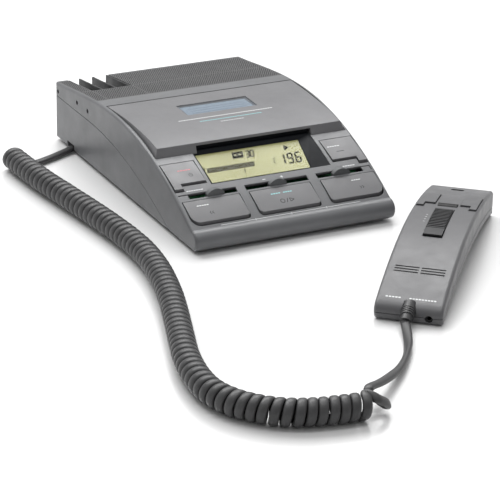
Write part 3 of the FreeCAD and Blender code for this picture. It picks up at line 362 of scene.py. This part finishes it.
def floor_finish():
    """White sheet: a chalky body under a blurred mirror with a barely uneven polish."""
    recipe = Recipe("floor_white")
    colour = recipe.mix(recipe.noise(0.3), (0.90, 0.90, 0.90, 1), (0.92, 0.92, 0.92, 1))
    recipe.link(colour, recipe.shader.inputs["Base Color"])
    recipe.shader.inputs["Roughness"].default_value = 0.9
    recipe.shader.inputs["Specular IOR Level"].default_value = 0.0
    mirror = recipe.add("ShaderNodeBsdfGlossy")
    recipe.link(recipe.spread(recipe.noise(0.2), 0.22, 0.26), mirror.inputs["Roughness"])
    blend = recipe.add("ShaderNodeMixShader")
    blend.inputs["Fac"].default_value = FLOOR_MIRROR
    recipe.link(recipe.shader.outputs["BSDF"], blend.inputs[1])
    recipe.link(mirror.outputs["BSDF"], blend.inputs[2])
    recipe.link(blend.outputs["Shader"], recipe.tree.nodes["Material Output"].inputs["Surface"])
    return recipe.material


FINISHES = {
    "housing_plastic": plastic("housing_plastic", srgb(95, 96, 98), gloss=0.36, edge=0.0006),
    "lid_plastic": plastic("lid_plastic", srgb(101, 101, 103), gloss=0.38, edge=0.0006),
    "grille_plastic": plastic("grille_plastic", srgb(70, 70, 71), gloss=0.5),
    "key_plastic": plastic("key_plastic", srgb(90, 90, 92), gloss=0.36, edge=0.0005),
    "dark_plastic": plastic("dark_plastic", srgb(30, 31, 33), gloss=0.45, edge=0.0004, specular=0.35),
    "clear_pane": pane("clear_pane", (0.97, 0.98, 0.98, 1), 0.002, 0.03),
    "display_cell": liquid_crystal("display_cell"),
    "board": circuit_board("board"),
    "steel": metal("steel", (0.60, 0.60, 0.61, 1), 0.32, stretch=(1, 12, 1)),
    "brass": metal("brass", (0.72, 0.53, 0.24, 1), 0.28, stretch=(1, 1, 10)),
    "white_plastic": plastic("white_plastic", srgb(214, 213, 208), gloss=0.35, tint=1.03),
    "rubber_black": plastic("rubber_black", srgb(44, 44, 44), gloss=0.7, relief=0.00004),
    "cassette_plastic": plastic("cassette_plastic", srgb(58, 59, 63), gloss=0.25, relief=0.00001),
    "speaker_paper": plastic("speaker_paper", srgb(50, 49, 47), gloss=0.85, grain=0.0009, relief=0.0001),
    "lamp_lens": plastic("lamp_lens", srgb(12, 12, 13), gloss=0.35, relief=0.000004, specular=0.12),
    "cord_jacket": jacket("cord_jacket"),
}
SPECIAL_FINISHES = {
    "display_frame": plastic("display_frame_plastic", srgb(14, 17, 21), gloss=0.55, specular=0.15),
    "lid_window": pane("label_pane", (0.90, 0.93, 0.96, 1), 0.012, 0.06),
    "mic_slide_knob": plastic("switch_plastic", srgb(34, 34, 36), gloss=0.4, edge=0.0003, specular=0.3),
    "microphone_plug": plastic("plug_plastic", srgb(46, 46, 47), gloss=0.5, edge=0.0003),
}
KNOB_PLASTIC = plastic("knob_plastic", srgb(88, 90, 91), gloss=0.36, edge=0.0004)
MICROPHONE_PLASTIC = plastic("microphone_plastic", srgb(84, 84, 86), gloss=0.4, edge=0.0005)
SPECIAL_FINISHES |= {name: KNOB_PLASTIC for name in ("speed_knob", "volume_knob", "tone_knob")}
SPECIAL_FINISHES |= {name: MICROPHONE_PLASTIC for name in ("mic_front_shell", "mic_rear_shell",
                                                           "mic_left_key", "mic_right_key")}
WHITE_INK = ink("white_ink", srgb(214, 216, 216))
CYAN_INK = ink("cyan_ink", srgb(130, 196, 200))
RED_INK = ink("red_ink", srgb(206, 104, 112))
DARK_INK = ink("dark_ink", srgb(30, 31, 33), sheen=0.2)
SEGMENT_INK = ink("segment_ink", srgb(30, 30, 22), sheen=0.0)
BAR_INK = ink("bar_ink", srgb(70, 68, 48), sheen=0.0)
LABEL_CARD = ink("label_card", srgb(138, 147, 154))
LABEL_LINE = ink("label_line", srgb(84, 94, 108))


def finish_cad_nodes():
    """Every carried-over CAD node gets its slot's finish."""
    for part in frame["record"]["subparts"]:
        node = CAD[part["node"]]
        material = SPECIAL_FINISHES.get(part["node"], FINISHES[part["material_slot"]])
        node.data.materials.clear()
        node.data.materials.append(material)


# ---- mesh building ----
def mesh_piece(name, points, faces, material, body, smooth=False):
    """A closed mesh piece that rides on a body."""
    mesh = bpy.data.meshes.new(name)
    mesh.from_pydata([tuple(p) for p in points], [], faces)
    mesh.materials.append(material)
    mesh.polygons.foreach_set("use_smooth", [smooth] * len(mesh.polygons))
    mesh.update()
    piece = bpy.data.objects.new(name, mesh)
    bpy.context.scene.collection.objects.link(piece)
    if body:
        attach(piece, body)
    return piece


class Print:
    """Thin closed plates on one surface: they are gathered, and become one piece."""

    def __init__(self, name, level, material, body, slot, rise=0.06, sink=0.25, place=None):
        self.name, self.level, self.material = name, level, material
        self.body, self.slot, self.rise, self.sink = body, slot, rise, sink
        self.place = place or (lambda x, y: (x, y))
        self.points, self.faces = [], []

    def outline(self, corners, step=3.0):
        """A convex or thin closed outline in millimetres, anticlockwise from above."""
        ring = []
        for (x0, y0), (x1, y1) in zip(corners, corners[1:] + corners[:1]):
            pieces = max(1, int(math.hypot(x1 - x0, y1 - y0) / step))
            ring += [(x0 + (x1 - x0) * i / pieces, y0 + (y1 - y0) * i / pieces) for i in range(pieces)]
        start, count = len(self.points), len(ring)
        for lift in (-self.sink, self.rise):
            for x, y in ring:
                px, py = self.place(x, y)
                self.points.append((px * MM, py * MM, (self.level(x, y) + lift) * MM))
        self.faces.append([start + i for i in reversed(range(count))])
        self.faces.append([start + count + i for i in range(count)])
        for i in range(count):
            j = (i + 1) % count
            self.faces.append([start + i, start + j, start + count + j, start + count + i])

    def bar(self, x0, y0, x1, y1, width):
        """A straight bar with flat ends."""
        length = math.hypot(x1 - x0, y1 - y0)
        nx, ny = -(y1 - y0) / length * width / 2, (x1 - x0) / length * width / 2
        self.outline([(x0 - nx, y0 - ny), (x1 - nx, y1 - ny), (x1 + nx, y1 + ny), (x0 + nx, y0 + ny)])

    def path(self, points, width, closed=False):
        """A run of bars, end to end."""
        ends = points[1:] + points[:1] if closed else points[1:]
        for (x0, y0), (x1, y1) in zip(points, ends):
            self.bar(x0, y0, x1, y1, width)

    def arc(self, x, y, radius, start, end, width, pieces=14):
        """Part of a ring, in degrees anticlockwise from the right."""
        for i in range(pieces):
            a = math.radians(start + (end - start) * i / pieces)
            b = math.radians(start + (end - start) * (i + 1) / pieces)
            inner, outer = radius - width / 2, radius + width / 2
            self.outline([(x + inner * math.cos(a), y + inner * math.sin(a)),
                          (x + outer * math.cos(a), y + outer * math.sin(a)),
                          (x + outer * math.cos(b), y + outer * math.sin(b)),
                          (x + inner * math.cos(b), y + inner * math.sin(b))])

    def build(self):
        return mesh_piece(self.name, self.points, self.faces, self.material, self.body)


def surface_of(*names):
    """The height of CAD nodes' upper surface in millimetres, read straight down onto their meshes."""
    points, faces = [], []
    for name in names:
        start = len(points)
        points += [v.co.copy() for v in CAD[name].data.vertices]
        faces += [[start + i for i in p.vertices] for p in CAD[name].data.polygons]
    tree = BVHTree.FromPolygons(points, faces)

    def height(x, y):
        hit = tree.ray_cast(Vector((x * MM, y * MM, 0.2)), Vector((0, 0, -1)))[0]
        if hit is None:
            raise ValueError(f"nothing of {names} lies under {x}, {y}")
        return hit.z / MM
    return height


# ---- the perforated rear panel ----
def grille_cells():
    """The panel's cells, as columns and rows of lines, without those in the connector notch."""
    notch_x0, notch_x1, notch_y = GRILLE_NOTCH
    columns = np.append(np.arange(GRILLE_LEFT, GRILLE_RIGHT - 0.5, GRILLE_CELL[0]), GRILLE_RIGHT)
    rows = np.append(np.arange(GRILLE_FRONT, GRILLE_REAR - 0.5, GRILLE_CELL[1]), GRILLE_REAR)
    columns = np.unique(np.append(columns, (notch_x0, notch_x1)))
    rows = np.unique(np.append(rows, notch_y))
    return columns, rows


def in_notch(x, y):
    """Whether a place lies in the notch cut out for the connectors."""
    notch_x0, notch_x1, notch_y = GRILLE_NOTCH
    return notch_x0 < x < notch_x1 and y > notch_y


class PanelMesh:
    """Points and faces of the perforated panel."""

    def __init__(self):
        self.points, self.faces, self.dark, self.known = [], [], set(), {}

    def point(self, x, y, drop):
        """The number of the point so far below the crown, made at its first use."""
        key = (round(x, 4), round(y, 4), drop)
        if key not in self.known:
            self.known[key] = len(self.points)
            self.points.append((x * MM, y * MM, (crown(y) - drop) * MM))
        return self.known[key]

    def plain_cell(self, x0, x1, y0, y1, drop, upward=True):
        """A cell without a hole, facing up or down."""
        corners = [(x0, y0), (x1, y0), (x1, y1), (x0, y1)]
        face = [self.point(x, y, drop) for x, y in corners]
        self.faces.append(face if upward else face[::-1])

    def pierced_cell(self, x0, x1, y0, y1):
        """A cell with an eight-sided blind hole: its corners are joined to the hole's rim."""
        middle_x, middle_y = (x0 + x1) / 2, (y0 + y1) / 2
        ring = []
        for side in range(GRILLE_HOLE_SIDES):
            angle = 2 * math.pi * (side + 0.5) / GRILLE_HOLE_SIDES
            ring.append((middle_x + GRILLE_HOLE[0] * math.cos(angle),
                         middle_y + GRILLE_HOLE[1] * math.sin(angle)))
        rim = [self.point(x, y, GRILLE_RECESS) for x, y in ring]
        floor = [self.point(x, y, GRILLE_RECESS + GRILLE_HOLE_DEPTH) for x, y in ring]
        corners = [self.point(x, y, GRILLE_RECESS) for x, y in ((x1, y1), (x0, y1), (x0, y0), (x1, y0))]
        for side, corner in enumerate(corners):
            first, second = rim[2 * side], rim[2 * side + 1]
            following = corners[(side + 1) % 4]
            self.faces.append([first, corner, second])
            self.faces.append([second, corner, following, rim[(2 * side + 2) % GRILLE_HOLE_SIDES]])
        # The hole's walls and floor are gathered to take the dark plastic: painted shade inside the hole.
        inside = len(self.faces)
        for side in range(GRILLE_HOLE_SIDES):
            after = (side + 1) % GRILLE_HOLE_SIDES
            self.faces.append([rim[side], rim[after], floor[after], floor[side]])
        self.faces.append(floor)
        self.dark.update(range(inside, len(self.faces)))

    def wall(self, x0, y0, x1, y1):
        """An upright piece of the panel's edge, with the panel on its left."""
        self.faces.append([self.point(x0, y0, GRILLE_UNDERSIDE), self.point(x1, y1, GRILLE_UNDERSIDE),
                           self.point(x1, y1, GRILLE_RECESS), self.point(x0, y0, GRILLE_RECESS)])


def perforated_panel():
    """The rear panel, with a staggered field of small round blind holes whose insides are painted dark as
    shade.
    """
    columns, rows = grille_cells()
    panel = PanelMesh()
    filled = {}
    for i, (x0, x1) in enumerate(zip(columns, columns[1:])):
        for j, (y0, y1) in enumerate(zip(rows, rows[1:])):
            filled[i, j] = not in_notch((x0 + x1) / 2, (y0 + y1) / 2)
            if not filled[i, j]:
                continue
            panel.plain_cell(x0, x1, y0, y1, GRILLE_UNDERSIDE, upward=False)
            whole = x1 - x0 > 0.99 * GRILLE_CELL[0] and y1 - y0 > 0.99 * GRILLE_CELL[1]
            rim = min(x0 - GRILLE_LEFT, GRILLE_RIGHT - x1, y0 - GRILLE_FRONT, GRILLE_REAR - y1)
            if whole and rim >= GRILLE_PLAIN_RIM and (i + j) % 2:
                panel.pierced_cell(x0, x1, y0, y1)
            else:
                panel.plain_cell(x0, x1, y0, y1, GRILLE_RECESS)
    for (i, j), here in filled.items():
        if not here:
            continue
        x0, x1, y0, y1 = columns[i], columns[i + 1], rows[j], rows[j + 1]
        sides = {(i, j - 1): (x0, y0, x1, y0), (i + 1, j): (x1, y0, x1, y1),
                 (i, j + 1): (x1, y1, x0, y1), (i - 1, j): (x0, y1, x0, y0)}
        for neighbour, edge in sides.items():
            if not filled.get(neighbour, False):
                panel.wall(*edge)
    piece = mesh_piece("perforated_panel", panel.points, panel.faces, FINISHES["grille_plastic"],
                       "base")
    # Painted shade: the holes' walls and floors get the dark plastic.
    piece.data.materials.append(FINISHES["dark_plastic"])
    for face in panel.dark:
        piece.data.polygons[face].material_index = 1
    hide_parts("rear_grille")


# ---- the curly cord ----
def spline_points(name, route, resolution):
    """Points read along a NURBS spline that has the route as its control points."""
    curve = bpy.data.curves.new(name, "CURVE")
    curve.dimensions = "3D"
    spline = curve.splines.new("NURBS")
    spline.points.add(len(route) - 1)
    for point, place in zip(spline.points, route):
        point.co = (*place, 1.0)
    spline.order_u = 3
    spline.use_endpoint_u = True
    spline.resolution_u = resolution
    holder = bpy.data.objects.new(name, curve)
    mesh = bpy.data.meshes.new_from_object(holder)
    points = [v.co.copy() for v in mesh.vertices]
    bpy.data.objects.remove(holder)
    bpy.data.meshes.remove(mesh)
    bpy.data.curves.remove(curve)
    return points


class Line:
    """A line through points, read by the distance along it."""

    def __init__(self, points):
        self.points = np.array([tuple(p) for p in points])
        steps = np.linalg.norm(np.diff(self.points, axis=0), axis=1)
        self.along = np.concatenate(([0.0], np.cumsum(steps)))
        self.length = float(self.along[-1])

    def at(self, distance):
        return Vector([np.interp(distance, self.along, self.points[:, k]) for k in range(3)])

    def heading(self, distance, reach=0.002):
        ahead, behind = min(distance + reach, self.length), max(distance - reach, 0.0)
        return (self.at(ahead) - self.at(behind)).normalized()


def helix(line):
    """Left-handed turns round the coil's own line, the last few at END_PITCH.

    Gives the points, and the way of the strand's wider side at each of them.
    """
    rng = random.Random(7)
    close_length = line.length - COIL_STOP_SHORT - END_TURNS * END_PITCH
    close_turns = round(close_length / HELIX_PITCH)
    turns = close_turns + END_TURNS
    sway = [rng.uniform(-1, 1) for _ in range(int(turns) + 3)]
    points, broad = [], []
    for step in range(int(turns * POINTS_PER_TURN) + 1):
        turn = step / POINTS_PER_TURN
        if turn < close_turns:
            distance = close_length * turn / close_turns
        else:
            distance = close_length + (turn - close_turns) * END_PITCH
        whole, part = int(turn), turn - int(turn)
        wobble = sway[whole] * (1 - part) + sway[whole + 1] * part
        radius = HELIX_RADIUS * (1 + HELIX_SWAY * wobble)
        ahead = line.heading(distance)
        side = ahead.cross(Vector((0, 0, 1))).normalized()
        up = side.cross(ahead)
        angle = math.pi + 2 * math.pi * turn
        centre = line.at(distance) + ahead * (HELIX_SHIFT * wobble)
        points.append(centre + radius * (math.cos(angle) * up - math.sin(angle) * side))
        broad.append(ahead)
    return points, broad


def strand_mesh(name, points, broad, material):
    """A tube of flat oval section along points; broad gives the way of its wider side."""
    vertices, faces = [], []
    count = len(points)
    for i, place in enumerate(points):
        heading = (points[min(i + 1, count - 1)] - points[max(i - 1, 0)]).normalized()
        wide = (broad[i] - broad[i].dot(heading) * heading).normalized()
        thin = heading.cross(wide)
        for side in range(STRAND_SIDES):
            angle = 2 * math.pi * side / STRAND_SIDES
            c, s = math.cos(angle), math.sin(angle)
            wide_part = math.copysign(abs(c) ** STRAND_SQUARENESS, c) * STRAND_WIDTH / 2
            thin_part = math.copysign(abs(s) ** STRAND_SQUARENESS, s) * STRAND_THICKNESS / 2
            vertices.append(place + wide_part * wide + thin_part * thin)
    for i in range(count - 1):
        for side in range(STRAND_SIDES):
            after = (side + 1) % STRAND_SIDES
            low, high = i * STRAND_SIDES, (i + 1) * STRAND_SIDES
            faces.append([low + side, low + after, high + after, high + side])
    faces.append(list(reversed(range(STRAND_SIDES))))
    faces.append([(count - 1) * STRAND_SIDES + side for side in range(STRAND_SIDES)])
    return mesh_piece(name, vertices, faces, material, None, smooth=True)


def eased(points, broad, first, last):
    """Turns the broad direction evenly from its value at first to its value at last."""
    start, end = broad[first], broad[last]
    for i in range(first + 1, last):
        share = (i - first) / (last - first)
        share = share * share * (3 - 2 * share)
        broad[i] = (start * (1 - share) + end * share).normalized()


def level_broad(points, tilt=0.0, fold=0.0):
    """Across a tail: flat on the desk, tilted part of the way along, and one set way round the fold."""
    broad = []
    for i in range(len(points)):
        away = abs(i / len(points) - TAIL_TILT_AT) / TAIL_TILT_REACH
        lean = math.tan(math.radians(tilt * max(0.0, 1.0 - away)))
        heading = points[min(i + 1, len(points) - 1)] - points[max(i - 1, 0)]
        across = (heading.cross(Vector((0, 0, 1))).normalized() + Vector((0, 0, lean))).normalized()
        if i < fold * len(points):
            across = Vector(FOLD_BROAD)
        if broad and broad[-1].dot(across) < 0:
            across = -across
        broad.append(across)
    return broad


def settled(broad, passes=8):
    """The same cross directions, each one evened out with its neighbours."""
    for _ in range(passes):
        middle = [(a + 2 * b + c).normalized() for a, b, c in zip(broad, broad[1:], broad[2:])]
        broad = [broad[0]] + middle + [broad[-1]]
    return broad


def curly_cord():
    """Tail out of the base, the coil, and the tail into the microphone's boot, as one strand."""
    coil, coil_broad = helix(Line(spline_points("coil_line", COIL_ROUTE, COIL_LINE_STEPS)))
    before = coil[0] - (coil[1] - coil[0]).normalized() * LEAD_IN
    before.z = coil[0].z
    first_route = BASE_TAIL_ROUTE + [tuple(before), tuple(coil[0])]
    after = coil[-1] + (coil[-1] - coil[-2]).normalized() * LEAD_OUT
    after.z = coil[-1].z
    second_route = [tuple(coil[-1]), tuple(after)] + MIC_TAIL_ROUTE
    first = spline_points("base_tail_line", first_route, TAIL_STEPS)[:-1]
    second = spline_points("mic_tail_line", second_route, TAIL_STEPS)[1:]
    first_broad = level_broad(first)
    second_broad = settled(level_broad(second, TAIL_TILT, FOLD_UNTIL))
    if first_broad[-1].dot(coil_broad[0]) < 0:
        first_broad = [-b for b in first_broad]
    if second_broad[0].dot(coil_broad[-1]) < 0:
        second_broad = [-b for b in second_broad]
    points = first + coil + second
    broad = first_broad + coil_broad + second_broad
    eased(points, broad, len(first) - 8, len(first) + 6)
    joint = len(first) + len(coil)
    eased(points, broad, joint - 6, joint + 10)
    piece = strand_mesh("curly_cord", points, broad, FINISHES["cord_jacket"])
    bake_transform(piece)
    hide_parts("cord_base_tail", "cord_coil", "cord_mic_tail")


# ---- printed marks and the display ----
SEGMENTS = {"0": "abcdef", "1": "bc", "3": "abgcd", "6": "afgcde", "9": "abcdfg"}
SEGMENT_GAP = 0.05
INK_RISE = 0.03
SYMBOL_STROKE = 0.4
DASH_PITCH, DASH_SHARE = 1.9, 0.72


def digit(marks, character, x, y, width, height, stroke):
    """One seven-segment figure."""
    def at(u, v):
        return (x + u * width, y + v * height)
    gap = SEGMENT_GAP
    runs = {"a": ((gap, 1), (1 - gap, 1)), "g": ((gap, 0.5), (1 - gap, 0.5)), "d": ((gap, 0), (1 - gap, 0)),
            "f": ((0, 0.5 + gap), (0, 1 - gap)), "b": ((1, 0.5 + gap), (1, 1 - gap)),
            "e": ((0, gap), (0, 0.5 - gap)), "c": ((1, gap), (1, 0.5 - gap))}
    for segment in SEGMENTS[character]:
        (u0, v0), (u1, v1) = runs[segment]
        marks.bar(*at(u0, v0), *at(u1, v1), stroke)


def display_figures():
    """What the display shows: tape symbol, tape length, level bar, running arrow and counter."""
    def level(x, y):
        return display_level(y) - PANEL_BELOW_PANE

    def leaning(x, y):
        return x + FIGURE_LEAN * (y - FIGURE_LEAN_ABOUT), y
    marks = Print("display_figures", level, SEGMENT_INK, "base", "display_cell", rise=0.2, sink=FIGURE_SINK,
                  place=leaning)
    tape_symbol(marks, -20.1, -11.9, -61.4, -55.3)
    for character, x in (("3", -9.7), ("0", -6.4)):
        digit(marks, character, x, -62.0, 2.3, 6.2, 0.95)
    marks.outline([(19.2, -61.2), (23.0, -58.5), (19.2, -55.8)])
    for character, x, width in (("1", 14.4, 3.2), ("9", 20.3, 3.5), ("6", 26.3, 3.5)):
        digit(marks, character, x, -74.4, width, 9.6, 1.25)
    marks.bar(24.6, -74.6, 25.4, -74.6, 0.8)
    marks.path([(-41.6, -71.8), (-42.6, -71.8), (-42.6, -66.5), (-41.6, -66.5)], 0.45)
    marks.bar(-13.4, -76.5, -13.4, -73.0, 0.7)
    marks.path([(10.6, -72.4), (9.2, -70.6), (10.4, -69.0)], 0.5)
    marks.bar(9.0, -67.6, 11.0, -66.6, 0.5)
    marks.build()
    bar = Print("display_level_bar", level, BAR_INK, "base", "display_cell", rise=0.19, sink=FIGURE_SINK,
                place=leaning)
    bar.outline([(-40.9, -71.6), (-5.3, -71.6), (-5.3, -67.1), (-40.9, -67.1)])
    bar.build()


def tape_symbol(marks, x0, x1, y0, y1):
    """A filled cassette outline, left open at its two reels."""
    middle = (y0 + y1) / 2 + 0.3
    marks.bar(x0, y1 - 0.5, x1, y1 - 0.5, 1.0)
    marks.bar(x0, y0 + 0.8, x1, y0 + 0.8, 1.6)
    marks.bar(x0 + 0.5, y0 + 1.6, x0 + 0.5, y1 - 1.0, 1.0)
    marks.bar(x1 - 0.5, y0 + 1.6, x1 - 0.5, y1 - 1.0, 1.0)
    for x in (x0 + 2.35, x1 - 2.35):
        marks.arc(x, middle, 1.45, 0, 360, 0.75)
    marks.bar((x0 + x1) / 2, y0 + 1.6, (x0 + x1) / 2, y1 - 1.0, 1.2)


def power_symbol(marks, x, y, radius):
    """A ring, open at its top, with a bar through the gap."""
    marks.arc(x, y, radius, 120, 420, SYMBOL_STROKE)
    marks.bar(x, y + 0.2, x, y + radius + 0.7, SYMBOL_STROKE)


def chevrons(marks, x, y, way, size=1.1):
    """Two open arrow heads, pointing left or right."""
    for shift in (-0.9, 0.9):
        marks.path([(x + shift - way * size / 2, y + size), (x + shift + way * size / 2, y),
                    (x + shift - way * size / 2, y - size)], SYMBOL_STROKE)


def word(marks, x0, x1, y, height=0.8):
    """A plain row of short dashes, where a machine like this carries a word."""
    count = max(2, round((x1 - x0) / DASH_PITCH))
    step = (x1 - x0) / count
    for i in range(count):
        marks.bar(x0 + step * i, y, x0 + step * (i + DASH_SHARE), y, height)


def base_marks():
    """A ticked rule on the nose, and rows of dashes and signs above the sliders."""
    top = surface_of("upper_housing")
    nose = Print("nose_rule", top, WHITE_INK, "base", "housing_plastic", rise=INK_RISE)
    nose.bar(-53.0, -115.2, 51.3, -115.2, 0.28)
    for x in (-27.4, -0.8, 25.6):
        nose.bar(x, -116.0, x, -114.6, 0.4)
    nose.build()
    scales = Print("slider_scales", top, WHITE_INK, "base", "housing_plastic", rise=INK_RISE)
    word(scales, -65.0, -52.5, -86.2, 0.7)
    scales.bar(-8.6, -86.4, -6.4, -86.4, 0.4)
    scales.bar(4.8, -86.4, 7.0, -86.4, 0.4)
    scales.bar(5.9, -87.5, 5.9, -85.3, 0.4)
    word(scales, 52.8, 62.4, -86.4, 0.7)
    scales.build()


def key_marks():
    """The symbols and the dashed rows on the base unit's five keys."""
    def marks(name, key, ink_used):
        return Print(name, surface_of(key), ink_used, key, "key_plastic", rise=INK_RISE)
    power = marks("power_key_mark", "power_key", DARK_INK)
    power_symbol(power, -56.0, -73.4, 1.3)
    power.build()
    red = marks("power_key_word", "power_key", RED_INK)
    word(red, -63.4, -53.6, -68.2)
    red.build()
    for key, x0, x1, y in (("search_key", 50.4, 60.0, -67.8), ("rewind_key", -63.4, -54.4, -99.2),
                           ("wind_key", 53.0, 60.0, -99.0)):
        row = marks(key + "_word", key, WHITE_INK)
        word(row, x0, x1, y, 0.7)
        row.build()
    search = marks("search_key_mark", "search_key", DARK_INK)
    search.bar(55.0, -73.4, 60.6, -73.4, 0.5)
    search.build()
    rewind = marks("rewind_key_mark", "rewind_key", DARK_INK)
    chevrons(rewind, -55.4, -106.0, -1)
    rewind.build()
    play = marks("play_key_mark", "play_key", DARK_INK)
    play.arc(-3.0, -106.2, 1.5, 0, 360, 0.45, 20)
    play.bar(-0.2, -107.8, 1.2, -104.6, 0.45)
    play.path([(2.6, -107.6), (5.6, -106.2), (2.6, -104.8)], 0.45, closed=True)
    play.build()
    cyan = marks("play_key_words", "play_key", CYAN_INK)
    word(cyan, -8.6, -1.2, -99.4)
    word(cyan, 0.6, 7.4, -99.4)
    cyan.build()
    wind = marks("wind_key_mark", "wind_key", DARK_INK)
    chevrons(wind, 57.8, -105.6, 1)
    wind.build()


def label_card():
    """A printed card behind the lid's pane, with ruled lines."""
    def level(x, y):
        return lid_top(y) - LABEL_BELOW_LID
    card = Print("label_card", level, LABEL_CARD, "lid", "white_plastic", rise=0.1, sink=0.2)
    for row in range(LABEL_STRIPS):
        y0 = LABEL_FRONT + row * LABEL_STRIP
        y1 = y0 + LABEL_STRIP
        card.outline([(LABEL_LEFT, y0), (LABEL_RIGHT, y0), (LABEL_RIGHT, y1), (LABEL_LEFT, y1)])
    card.build()
    lines = Print("label_lines", level, LABEL_LINE, "lid", "white_plastic", rise=0.14, sink=0.0)
    for y in (-3.6, 0.4, 4.4):
        lines.bar(-22.0, y, 20.0, y, 0.4)
    lines.build()


def lid_rules():
    """Rows of dashes on the lid, below its window."""
    def level(x, y):
        return lid_top(y)
    white = Print("lid_rules_white", level, WHITE_INK, "lid", "lid_plastic", rise=INK_RISE)
    word(white, -38.4, 34.0, -15.8, 0.9)
    word(white, -10.6, 7.4, -25.2, 0.6)
    white.build()
    cyan = Print("lid_rule_cyan", level, CYAN_INK, "lid", "lid_plastic", rise=INK_RISE)
    word(cyan, -24.4, 23.2, -21.0, 0.8)
    cyan.build()


def microphone_marks():
    """Four ticks beside the slide switch, and rows of dashes at the cord end."""
    top = surface_of("mic_front_shell")

    def level(x, y):
        return top(*on_microphone(x, y))
    marks = Print("microphone_marks", level, WHITE_INK, "microphone", "housing_plastic", rise=INK_RISE,
                  place=on_microphone)
    for y in (114.6, 110.6, 106.6, 102.6):
        marks.bar(-10.2, y, -9.2, y, 0.5)
    word(marks, -16.0, -6.0, 10.9, 1.1)
    word(marks, -1.0, 16.4, 10.9, 1.1)
    marks.build()


# ---- floor, light and camera ----
def stage():
    """The white floor that everything stands on."""
    half = FLOOR_HALF
    corners = [(-half, -half, 0), (half, -half, 0), (half, half, 0), (-half, half, 0)]
    mesh = bpy.data.meshes.new("floor")
    mesh.from_pydata(corners, [], [[0, 1, 2, 3]])
    mesh.materials.append(floor_finish())
    floor = bpy.data.objects.new("floor", mesh)
    bpy.context.scene.collection.objects.link(floor)


def softbox(name, place, target, width, height, watts):
    """A rectangular area light at place, turned to target."""
    light = bpy.data.lights.new(name, "AREA")
    light.shape = "RECTANGLE"
    light.size, light.size_y = width, height
    light.energy = watts
    lamp = bpy.data.objects.new(name, light)
    lamp.location = place
    lamp.rotation_euler = (Vector(target) - Vector(place)).to_track_quat("-Z", "Y").to_euler()
    bpy.context.scene.collection.objects.link(lamp)


def sky():
    """A studio round the set: bright above and behind it, dim in front."""
    world = bpy.data.worlds.new("studio")
    world.use_nodes = True
    tree = world.node_tree
    towards = tree.nodes.new("ShaderNodeVectorMath")
    towards.operation = "DOT_PRODUCT"
    towards.inputs[1].default_value = SKY_TOWARDS
    tree.links.new(tree.nodes.new("ShaderNodeTexCoord").outputs["Generated"], towards.inputs[0])
    grade = tree.nodes.new("ShaderNodeMapRange")
    grade.interpolation_type = "SMOOTHSTEP"
    grade.inputs["From Min"].default_value = -0.7
    grade.inputs["From Max"].default_value = 0.7
    grade.inputs["To Min"].default_value = SKY_DARK
    grade.inputs["To Max"].default_value = SKY_BRIGHT
    tree.links.new(towards.outputs["Value"], grade.inputs["Value"])
    background = tree.nodes["Background"]
    tree.links.new(grade.outputs["Result"], background.inputs["Color"])
    background.inputs["Strength"].default_value = 1.0
    bpy.context.scene.world = world


def lights():
    """A wide box high behind the machine, a narrow strip above it, and the sky."""
    sky()
    softbox("rear_box", (0.08, 0.78, 1.35), (0.0, -0.1, 0.0), 1.8, 0.8, BOX_WATTS)
    softbox("front_strip", (-0.10, -0.35, 1.5), (0.0, -0.1, 0.0), 1.6, 0.12, STRIP_WATTS)
    bpy.context.scene.view_settings.view_transform = "Standard"


def camera():
    """The camera, turned by its azimuth, elevation and roll."""
    azimuth, elevation = math.radians(CAMERA_AZIMUTH), math.radians(CAMERA_ELEVATION)
    roll = math.radians(CAMERA_ROLL)
    ahead = Vector((-math.sin(azimuth) * math.cos(elevation), math.cos(azimuth) * math.cos(elevation),
                    -math.sin(elevation)))
    level_right = ahead.cross(Vector((0, 0, 1))).normalized()
    level_up = level_right.cross(ahead)
    right = math.cos(roll) * level_right + math.sin(roll) * level_up
    up = right.cross(ahead)
    data = bpy.data.cameras.new("camera")
    data.lens = CAMERA_LENS
    data.sensor_width = 36.0
    data.clip_start = 0.05
    eye = bpy.data.objects.new("camera", data)
    turn = Matrix((right, up, -ahead)).transposed().to_4x4()
    eye.matrix_world = Matrix.Translation(CAMERA_PLACE) @ turn
    bpy.context.scene.collection.objects.link(eye)
    bpy.context.scene.camera = eye


camera()
lights()
stage()
finish_cad_nodes()
curly_cord()
perforated_panel()
display_figures()
base_marks()
key_marks()
label_card()
lid_rules()
microphone_marks()
